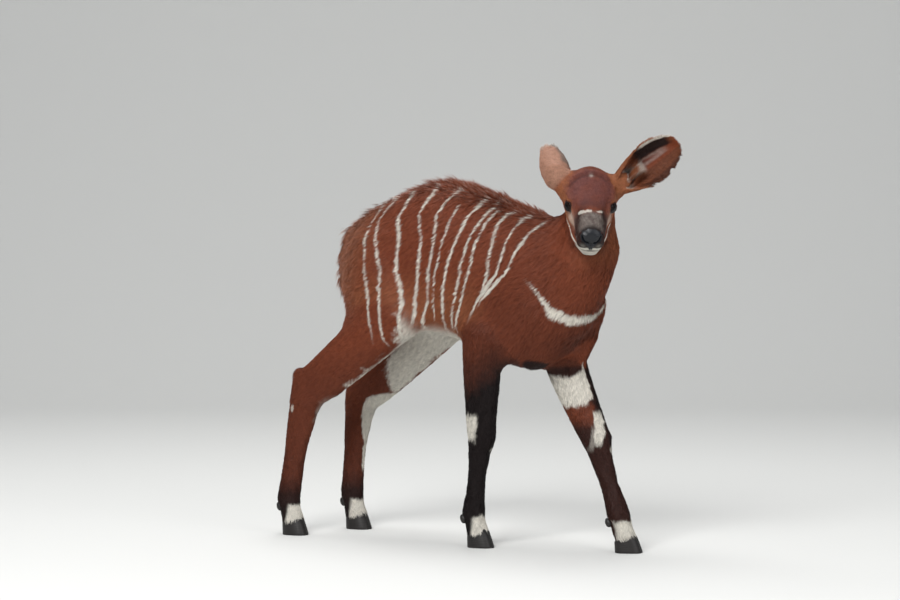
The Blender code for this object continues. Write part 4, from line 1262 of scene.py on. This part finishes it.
# %% Grow the coat
FRONT_LEGS = ("upper_front_left", "upper_front_right", "lower_front_left", "lower_front_right")
Coat = namedtuple("Coat", "name parts side tufts rows")
COATS = (
    Coat("coat_trunk_right", ("trunk",), -1, 66000, 2),
    Coat("coat_trunk_left", ("trunk",), 1, 66000, 2),
    Coat("coat_haunches", ("upper_hind_left", "upper_hind_right", "tail"), 0, 65000, 2),
    Coat("coat_neck", ("neck",), 0, 50000, 2),
    Coat("coat_front_legs", FRONT_LEGS, 0, 62000, 2),
    Coat("coat_hind_legs", ("lower_hind_left", "lower_hind_right"), 0, 34000, 2),
    Coat("coat_head", ("head",), 0, 65000, 2),
    Coat("coat_ears", ("ear_left", "ear_right"), 0, 50000, 2),
)
THINNING = 1.0
CREST_LENGTH, CREST_LIFT, CREST_PALE = 0.012, 0.38, 0.34
RUMP_LENGTH, RUMP_LIFT = 0.006, 0.15
CORONET_LENGTH = 0.005


def unwrapped(points, piece):
    """Round and along each part's bone: every part has its own column of the map."""
    uv = np.zeros((len(points), 2))
    owner = memberships(points).argmax(axis=1)
    names = [name for name in NAMES if name in piece.parts]
    for column, name in enumerate(names):
        mine = owner == NAMES.index(name)
        path = np.array(PARTS[NAMES.index(name)].path)
        start, end = path[0], path[-1]
        axis = unit(end - start)
        first = unit(np.cross(axis, (0.0, 0.96, 0.28)))
        second = np.cross(axis, first)
        off = points[mine] - start
        round_it = np.arctan2(off @ second, off @ first) / (2 * np.pi) + 0.5
        uv[mine, 0] = (column + 0.02 + 0.96 * round_it) / len(names)
        reach = off @ axis / np.linalg.norm(end - start)
        uv[mine, 1] = 0.02 + 0.96 * np.clip((reach + 0.3) / 1.6, 0, 1)
    return uv


def bareness(points):
    """1 on leather without hair: the nose, the lids' edge, the eyes' pits and the mouth."""
    head = to_head(points)
    flat = folded(head)
    bare = np.zeros(len(points))
    near_face = np.abs(head - (0.02, 0, -0.01)).max(axis=1) < 0.095
    flat = flat[near_face]
    lids = ramp(opening(flat), -4.5, -2.5) * (np.linalg.norm(flat - EYE, axis=1) < 0.019)
    lips = on_line(flat, LINES["mouth"], 0.0010)
    bare[near_face] = np.maximum.reduce([nose_leather(flat), lids, lips])
    return bare


def size_of_hair(points):
    """A factor for the length: tiny on the muzzle and by the eyes, fuller on poll and cheek."""
    head = to_head(points)
    flat = folded(head)
    close = np.linalg.norm(flat - EYE, axis=1)
    factor = 1.25 - 0.70 * ramp(head[:, 0], -0.040, 0.050) - 0.22 * ramp(head[:, 0], 0.05, 0.09)
    return factor * (0.55 + 0.45 * ramp(close, 0.018, 0.032))


hide = read(skin.data, "co")
hide_normals = read(skin.data, "vector", 3, "vertex_normals")
hide_corners = triangles_of(skin.data)
hide_middles = hide[hide_corners].mean(axis=1)
hide_shares = memberships(hide_middles)
hairy = 1 - bareness(hide_middles)
HEAD_PART = NAMES.index("head")
hairy *= 1 + 1.3 * hide_shares[:, HEAD_PART] * ramp(to_head(hide_middles)[:, 0], -0.01, 0.06)
owners = hide_shares.argmax(axis=1)
coats = []
for number, piece in enumerate(COATS):
    wanted = np.isin(owners, [NAMES.index(name) for name in piece.parts])
    if piece.side:
        wanted &= (hide_middles[:, 1] - START[1]) * piece.side >= 0
    total = int(piece.tufts * THINNING)
    at, up = scattered(hide, hide_normals, hide_corners[wanted], hairy[wanted], total, 60 + number)
    shares = memberships(at)
    roots = Roots(at, up, shares, lie(at, up, shares))
    raised, fluffy = crest(at, up), rump(at, up)
    random = np.random.default_rng(80 + number)
    lengths = blended(shares, "length") + CREST_LENGTH * raised + RUMP_LENGTH * fluffy
    lengths += CORONET_LENGTH * ramp(at[:, 2], 0.055, 0.040)
    face = shares[:, HEAD_PART]
    lengths *= (1 - face + face * size_of_hair(at)) * random.uniform(0.75, 1.2, total)
    widths = blended(shares, "width") * random.uniform(0.8, 1.25, total) / np.sqrt(THINNING)
    widths *= 1 - 0.30 * face * ramp(to_head(at)[:, 0], -0.01, 0.06)
    lifts = blended(shares, "lift") + CREST_LIFT * raised + RUMP_LIFT * fluffy
    pale = CREST_PALE * raised * (random.uniform(size=total) < 0.4) + 0.12 * fluffy
    coats.append(coat_piece(piece.name, roots, lengths, widths, lifts, piece.rows,
                            unwrapped(at, piece), pale, 200 + 10 * number))

# %% Long hair of the ears
FRINGE_TUFTS = 9000
FRINGE_WIDTH, FRINGE_LIFT = 0.0007, 0.10
FRINGE_PIECE = Coat("coat_ear_fringe", ("ear_left", "ear_right"), 0, FRINGE_TUFTS, 3)


def fringe_lies(points, normals):
    """Density, direction and length of long ear hair: out over the rims, and up the left cup."""
    density, ways, sizes = np.zeros(len(points)), np.zeros_like(points), np.zeros(len(points))
    owner = memberships(points).argmax(axis=1)
    for name in ("ear_left", "ear_right"):
        mine = owner == NAMES.index(name)
        ear = EARS[name.split("_")[1]]
        head = to_head(points[mine])
        turned = normals[mine] @ HEAD_AXES
        along, angle, inner = ear_places(head, turned, name)
        share = round_the_cup(along, angle, name)
        rim = ramp(np.abs(share), 0.86, 0.96) * ramp(along, 0.22, 0.40)
        left = name == "ear_left"
        inside = left * inner * ramp(share, -0.40, -0.25) * ramp(share, 0.60, 0.30)
        inside = inside * ramp(along, 0.46, 0.32) * ramp(along, 0.05, 0.15)
        across = np.cross(ear.towards, ear.opening)
        outwards = across * np.sign(share)[:, None] * 0.8 + ear.towards * 0.8 + ear.opening * 0.25
        upwards = ear.towards - across * 0.35 + ear.opening * 0.3
        way = unit(outwards * rim[:, None] + upwards * inside[:, None] + 1e-6)
        density[mine] = rim + 1.3 * inside
        ways[mine] = way @ HEAD_AXES.T
        low_rim = rim * (share > 0) * ramp(along, 0.62, 0.40) * left
        plain = 0.0050 if left else 0.0040
        sizes[mine] = plain * rim + 0.003 * low_rim + 0.030 * inside
    return density, ways, sizes


first, second, third = (hide[hide_corners[:, corner]] for corner in range(3))
density, _, _ = fringe_lies(hide_middles, unit(np.cross(second - first, third - first)))
total = int(FRINGE_TUFTS * THINNING)
at, up = scattered(hide, hide_normals, hide_corners, density, total, 91)
_, ways, sizes = fringe_lies(at, up)
random = np.random.default_rng(92)
roots = Roots(at, up, memberships(at), unit(ways + random.normal(0, 0.12, ways.shape)))
lengths = np.clip(sizes, 0.004, 0.03) * random.uniform(0.6, 1.2, total)
coats.append(coat_piece(FRINGE_PIECE.name, roots, lengths, np.full(total, FRINGE_WIDTH),
                        np.full(total, FRINGE_LIFT), FRINGE_PIECE.rows, unwrapped(at, FRINGE_PIECE),
                        np.zeros(total), 300))

# %% Lashes
LASHES = 60
LASH_PIECE = Coat("coat_lashes", ("head",), 0, 2 * LASHES, 3)
LASH_WIDTH, LASH_LIFT = 0.0005, -0.25
aside = np.tile(np.linspace(-0.85, 0.80, LASHES), 2) * OPENING_WIDE
mirror = np.repeat(np.array([(1.0, 1.0, 1.0), (1.0, -1.0, 1.0)]), LASHES, axis=0)
share = aside / OPENING_WIDE
tall = OPENING_TALL * (1 - np.abs(share) ** ALMOND) - LID_TILT * share + np.radians(3)
way = (np.cos(tall) * np.cos(aside))[:, None] * EYE_OUT
way = way + (np.cos(tall) * np.sin(aside))[:, None] * EYE_FORE + np.sin(tall)[:, None] * EYE_UP
at = from_head((EYE + way * (LID + 0.0002)) * mirror)
outwards = (way * mirror) @ HEAD_AXES.T
upwards = (EYE_UP * mirror) @ HEAD_AXES.T
droop = unit(way + 0.25 * EYE_UP + 0.2 * (np.sin(aside))[:, None] * EYE_FORE)
roots = Roots(at, unit(np.cross(np.cross(outwards, upwards), outwards)), memberships(at),
              (droop * mirror) @ HEAD_AXES.T)
lengths = np.random.default_rng(93).uniform(0.0035, 0.0055, 2 * LASHES)
widths, lifts = np.full(2 * LASHES, LASH_WIDTH), np.full(2 * LASHES, LASH_LIFT)
lashes = coat_piece(LASH_PIECE.name, roots, lengths, widths, lifts, LASH_PIECE.rows,
                    unwrapped(at, LASH_PIECE), np.zeros(2 * LASHES), 310)

# %% [markdown]
# ## The colour of hair and hide
#
# Chestnut is the ground colour. Tan and mauve lie over it, then black, then cream, each by the
# strength of its mark. One node group does this for hair and hide alike. A hair is also darker at
# its root, because the hairs above keep light from it.

# %% Colour group, hair and hide
CHESTNUT, TAN, MAUVE = (0.205, 0.050, 0.022), (0.350, 0.128, 0.056), (0.155, 0.053, 0.045)
CREAM, BLACK, LEATHER = (0.74, 0.70, 0.62), (0.011, 0.007, 0.007), (0.008, 0.009, 0.012)


def link(tree, out, into):
    """Joins two sockets."""
    tree.links.new(out, into)


def mixed(tree, factor, first, second):
    """A Mix node for colours. factor, first and second are sockets or fixed values."""
    node = tree.nodes.new("ShaderNodeMix")
    node.data_type = "RGBA"
    for place, value in ((0, factor), (6, first), (7, second)):
        if isinstance(value, bpy.types.NodeSocket):
            link(tree, value, node.inputs[place])
        else:
            node.inputs[place].default_value = value if place == 0 else (*value, 1)
    return node.outputs[2]


def mathed(tree, operation, *values):
    """A Math node. Values are sockets or numbers."""
    node = tree.nodes.new("ShaderNodeMath")
    node.operation = operation
    for place, value in enumerate(values):
        if isinstance(value, bpy.types.NodeSocket):
            link(tree, value, node.inputs[place])
        else:
            node.inputs[place].default_value = value
    return node.outputs[0]


def scaled(tree, colour, factor):
    """A colour times a number."""
    node = tree.nodes.new("ShaderNodeVectorMath")
    node.operation = "SCALE"
    link(tree, colour, node.inputs[0])
    link(tree, factor, node.inputs["Scale"])
    return node.outputs[0]


def marking_group():
    """Node group: marks in, the coat's colour out. Cream lies over dark, dark over the warm hues."""
    group = bpy.data.node_groups.new("calf_markings", "ShaderNodeTree")
    for name, way, kind in (("Marks", "INPUT", "Color"), ("Mauve", "INPUT", "Float"),
                            ("Shade", "INPUT", "Float"), ("Color", "OUTPUT", "Color")):
        group.interface.new_socket(name, in_out=way, socket_type="NodeSocket" + kind)
    inside = group.nodes.new("NodeGroupInput")
    outside = group.nodes.new("NodeGroupOutput")
    split_marks = group.nodes.new("ShaderNodeSeparateColor")
    link(group, inside.outputs["Marks"], split_marks.inputs[0])
    cream, dark, tan = split_marks.outputs
    base = mixed(group, tan, CHESTNUT, TAN)
    for factor, over in ((inside.outputs["Mauve"], MAUVE), (dark, BLACK), (cream, CREAM)):
        base = mixed(group, factor, base, over)
    brightness = mathed(group, "MULTIPLY_ADD", inside.outputs["Shade"], 0.18, 1.0)
    link(group, scaled(group, base, brightness), outside.inputs["Color"])
    return group


MARKINGS = marking_group()


def attribute(tree, name, output="Fac"):
    """An attribute of the mesh as a socket."""
    node = tree.nodes.new("ShaderNodeAttribute")
    node.attribute_name = name
    return node.outputs[output]


def marked(tree):
    """The markings group, fed by the mesh's marks. Its Shade is left open."""
    colours = tree.nodes.new("ShaderNodeGroup")
    colours.node_tree = MARKINGS
    marks_node = tree.nodes.new("ShaderNodeAttribute")
    marks_node.attribute_name = "marks"
    link(tree, marks_node.outputs["Color"], colours.inputs["Marks"])
    link(tree, marks_node.outputs["Alpha"], colours.inputs["Mauve"])
    return colours


def new_material(name, **values):
    """A material with fixed values on its Principled node: its tree and that node come with it."""
    made = bpy.data.materials.new(name)
    made.use_nodes = True
    shader = made.node_tree.nodes["Principled BSDF"]
    put_values(shader, **values)
    return made, made.node_tree, shader


def put_values(node, **values):
    """Sets a node's sockets. A name's underscores stand for spaces."""
    for name, value in values.items():
        node.inputs[name.replace("_", " ")].default_value = value


def new_node(tree, kind, **values):
    """A node with fixed values on its sockets."""
    node = tree.nodes.new(kind)
    put_values(node, **values)
    return node


def hair_material():
    """Hair: the markings, dark down at the root, with a soft sheen."""
    made, tree, shader = new_material("hair", Roughness=0.52, Specular_IOR_Level=0.14)
    colours = marked(tree)
    link(tree, attribute(tree, "shade"), colours.inputs["Shade"])
    # Painted shade: each hair's colour is scaled from 0.42 at its root to 1.12 at its tip.
    depth = mathed(tree, "MULTIPLY_ADD", attribute(tree, "along"), 0.70, 0.42)
    link(tree, scaled(tree, colours.outputs["Color"], depth), shader.inputs["Base Color"])
    return made


def hide_material():
    """Hide: the markings seen between hairs, with painted shade under the hair, and black, grained
    leather where it is bare.
    """
    made, tree, shader = new_material("hide")
    colours = marked(tree)
    bare = attribute(tree, "bare")
    # Painted shade: where hair covers it, the hide is dimmed to 0.7 of the markings.
    shaded_under_hair = scaled(tree, colours.outputs["Color"], mathed(tree, "MULTIPLY_ADD", bare, 0.2, 0.70))
    link(tree, mixed(tree, bare, shaded_under_hair, LEATHER), shader.inputs["Base Color"])
    link(tree, mathed(tree, "MULTIPLY_ADD", bare, -0.26, 0.64), shader.inputs["Roughness"])
    gloss = mathed(tree, "MULTIPLY_ADD", bare, 0.18, 0.14)
    link(tree, gloss, shader.inputs["Specular IOR Level"])
    place = new_node(tree, "ShaderNodeTexCoord")
    grain = new_node(tree, "ShaderNodeTexVoronoi", Scale=620.0)
    bump = new_node(tree, "ShaderNodeBump", Strength=0.22, Distance=0.0004)
    link(tree, place.outputs["Object"], grain.inputs["Vector"])
    link(tree, grain.outputs["Distance"], bump.inputs["Height"])
    link(tree, bump.outputs["Normal"], shader.inputs["Normal"])
    return made


def horn_material():
    """Horn: near black, with paler fine rings and a half gloss."""
    made, tree, shader = new_material("horn", Roughness=0.42, Specular_IOR_Level=0.35)
    place = new_node(tree, "ShaderNodeTexCoord")
    flat = new_node(tree, "ShaderNodeMapping", Scale=(0.25, 0.25, 4.0))
    noise = new_node(tree, "ShaderNodeTexNoise", Scale=160.0, Detail=4.0)
    link(tree, place.outputs["Object"], flat.inputs["Vector"])
    link(tree, flat.outputs[0], noise.inputs["Vector"])
    colour = mixed(tree, noise.outputs["Fac"], (0.007, 0.0065, 0.0065), (0.026, 0.022, 0.020))
    link(tree, colour, shader.inputs["Base Color"])
    return made


def eye_material():
    """Eye: dark colours with a smooth, wet gloss."""
    made, tree, shader = new_material("wet_eye", Roughness=0.08, Specular_IOR_Level=0.15)
    link(tree, attribute(tree, "colour", "Color"), shader.inputs["Base Color"])
    return made


def lash_material():
    """Lashes: black and thin."""
    return new_material("lashes", Base_Color=(*BLACK, 1), Roughness=0.4)[0]


put_attribute(skin.data, "marks", marks(hide, hide_normals), "FLOAT_COLOR")
put_attribute(skin.data, "bare", bareness(hide))
for made, pieces in ((hair_material(), coats), (hide_material(), [skin]),
                     (horn_material(), horn_pieces), (eye_material(), eyes.values()),
                     (lash_material(), [lashes])):
    for piece in pieces:
        piece.data.materials.append(made)
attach(skin, "root")
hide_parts(*FLESH)
say("dressed")


# %% [markdown]
# ## Studio: floor, light and camera
#
# A pale floor that curves up into a wall shows no edge behind the calf. Three square lamps are
# large for their distance, so that their shadows are soft, and a weak grey sky fills the rest.

# %% A pale floor that curves up into a wall
FLOOR_DEPTH, WALL_HEIGHT, COVE = 6.0, 6.0, 2.5
STAGE_WIDTH, FLOOR_FRONT = 14.0, -10.0
LOOK = np.array((-np.sin(np.radians(37.0)), np.cos(np.radians(37.0)), 0.0))
ACROSS = np.array((LOOK[1], -LOOK[0], 0.0))


def sweep():
    """Floor and wall as one strip: flat, then a quarter circle, then upright, carried across."""
    turns = np.linspace(0, np.pi / 2, 24)
    away = np.concatenate([[FLOOR_FRONT], FLOOR_DEPTH - COVE + COVE * np.sin(turns), [FLOOR_DEPTH]])
    height = np.concatenate([[0.0], COVE * (1 - np.cos(turns)), [WALL_HEIGHT]])
    sides = np.linspace(-STAGE_WIDTH / 2, STAGE_WIDTH / 2, 8)
    points = (away[:, None, None] * LOOK + sides[None, :, None] * ACROSS).reshape(-1, 3)
    points[:, 2] = np.repeat(height, len(sides))
    grid = np.arange(len(points)).reshape(len(away), len(sides))
    faces = np.stack([grid[:-1, :-1], grid[:-1, 1:], grid[1:, 1:], grid[1:, :-1]], axis=-1)
    mesh = bpy.data.meshes.new("floor")
    mesh.from_pydata(points.tolist(), [], faces.reshape(-1, 4).tolist())
    mesh.shade_smooth()
    return new_object("floor", mesh)


floor = sweep()
paint, tree, shader = new_material("pale_floor", Base_Color=(0.72, 0.72, 0.70, 1), Roughness=0.9)
# The wall's back is clear, so that the calf can be seen from behind it.
facing = new_node(tree, "ShaderNodeNewGeometry")
clear = new_node(tree, "ShaderNodeBsdfTransparent")
either = new_node(tree, "ShaderNodeMixShader")
link(tree, facing.outputs["Backfacing"], either.inputs["Fac"])
link(tree, shader.outputs["BSDF"], either.inputs[1])
link(tree, clear.outputs["BSDF"], either.inputs[2])
link(tree, either.outputs["Shader"], tree.nodes["Material Output"].inputs["Surface"])
floor.data.materials.append(paint)
floor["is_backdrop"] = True

# %% Lights and camera
LIGHT_AIM = (0, 0, 0.5)
Lamp = namedtuple("Lamp", "name place size power")
LAMPS = (
    Lamp("key", (1.2, -4.2, 3.8), 2.2, 235),
    Lamp("fill", (5.0, -1.0, 2.4), 3.0, 70),
    Lamp("top", (-1.0, 0.5, 4.2), 3.0, 105),
)
for lamp in LAMPS:
    data = bpy.data.lights.new(lamp.name, "AREA")
    data.shape, data.size, data.energy = "SQUARE", lamp.size, lamp.power
    light = new_object(lamp.name, data)
    light.location = lamp.place
    towards = Vector(LIGHT_AIM) - Vector(lamp.place)
    light.rotation_euler = towards.to_track_quat("-Z", "Y").to_euler()
world = bpy.data.worlds.new("studio")
world.use_nodes = True
put_values(world.node_tree.nodes["Background"], Color=(0.93, 0.96, 1.0, 1), Strength=0.32)
bpy.context.scene.world = world

camera_data = bpy.data.cameras.new("camera")
camera_data.lens, camera_data.sensor_width = 147.2, 36.0
camera = new_object("camera", camera_data)
camera.location = body(4.766, -6.461, 0.960)
AIM_DOWN = np.radians(3.15)
towards = Vector((*(LOOK[:2] * np.cos(AIM_DOWN)), -np.sin(AIM_DOWN)))
camera.rotation_euler = towards.to_track_quat("-Z", "Y").to_euler()
bpy.context.scene.camera = camera

bpy.context.scene.view_settings.view_transform = "Standard"

# %% Sizes, and the end
model_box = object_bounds()
say("cad box", rounded(cad_box))
say("model box", rounded(model_box))
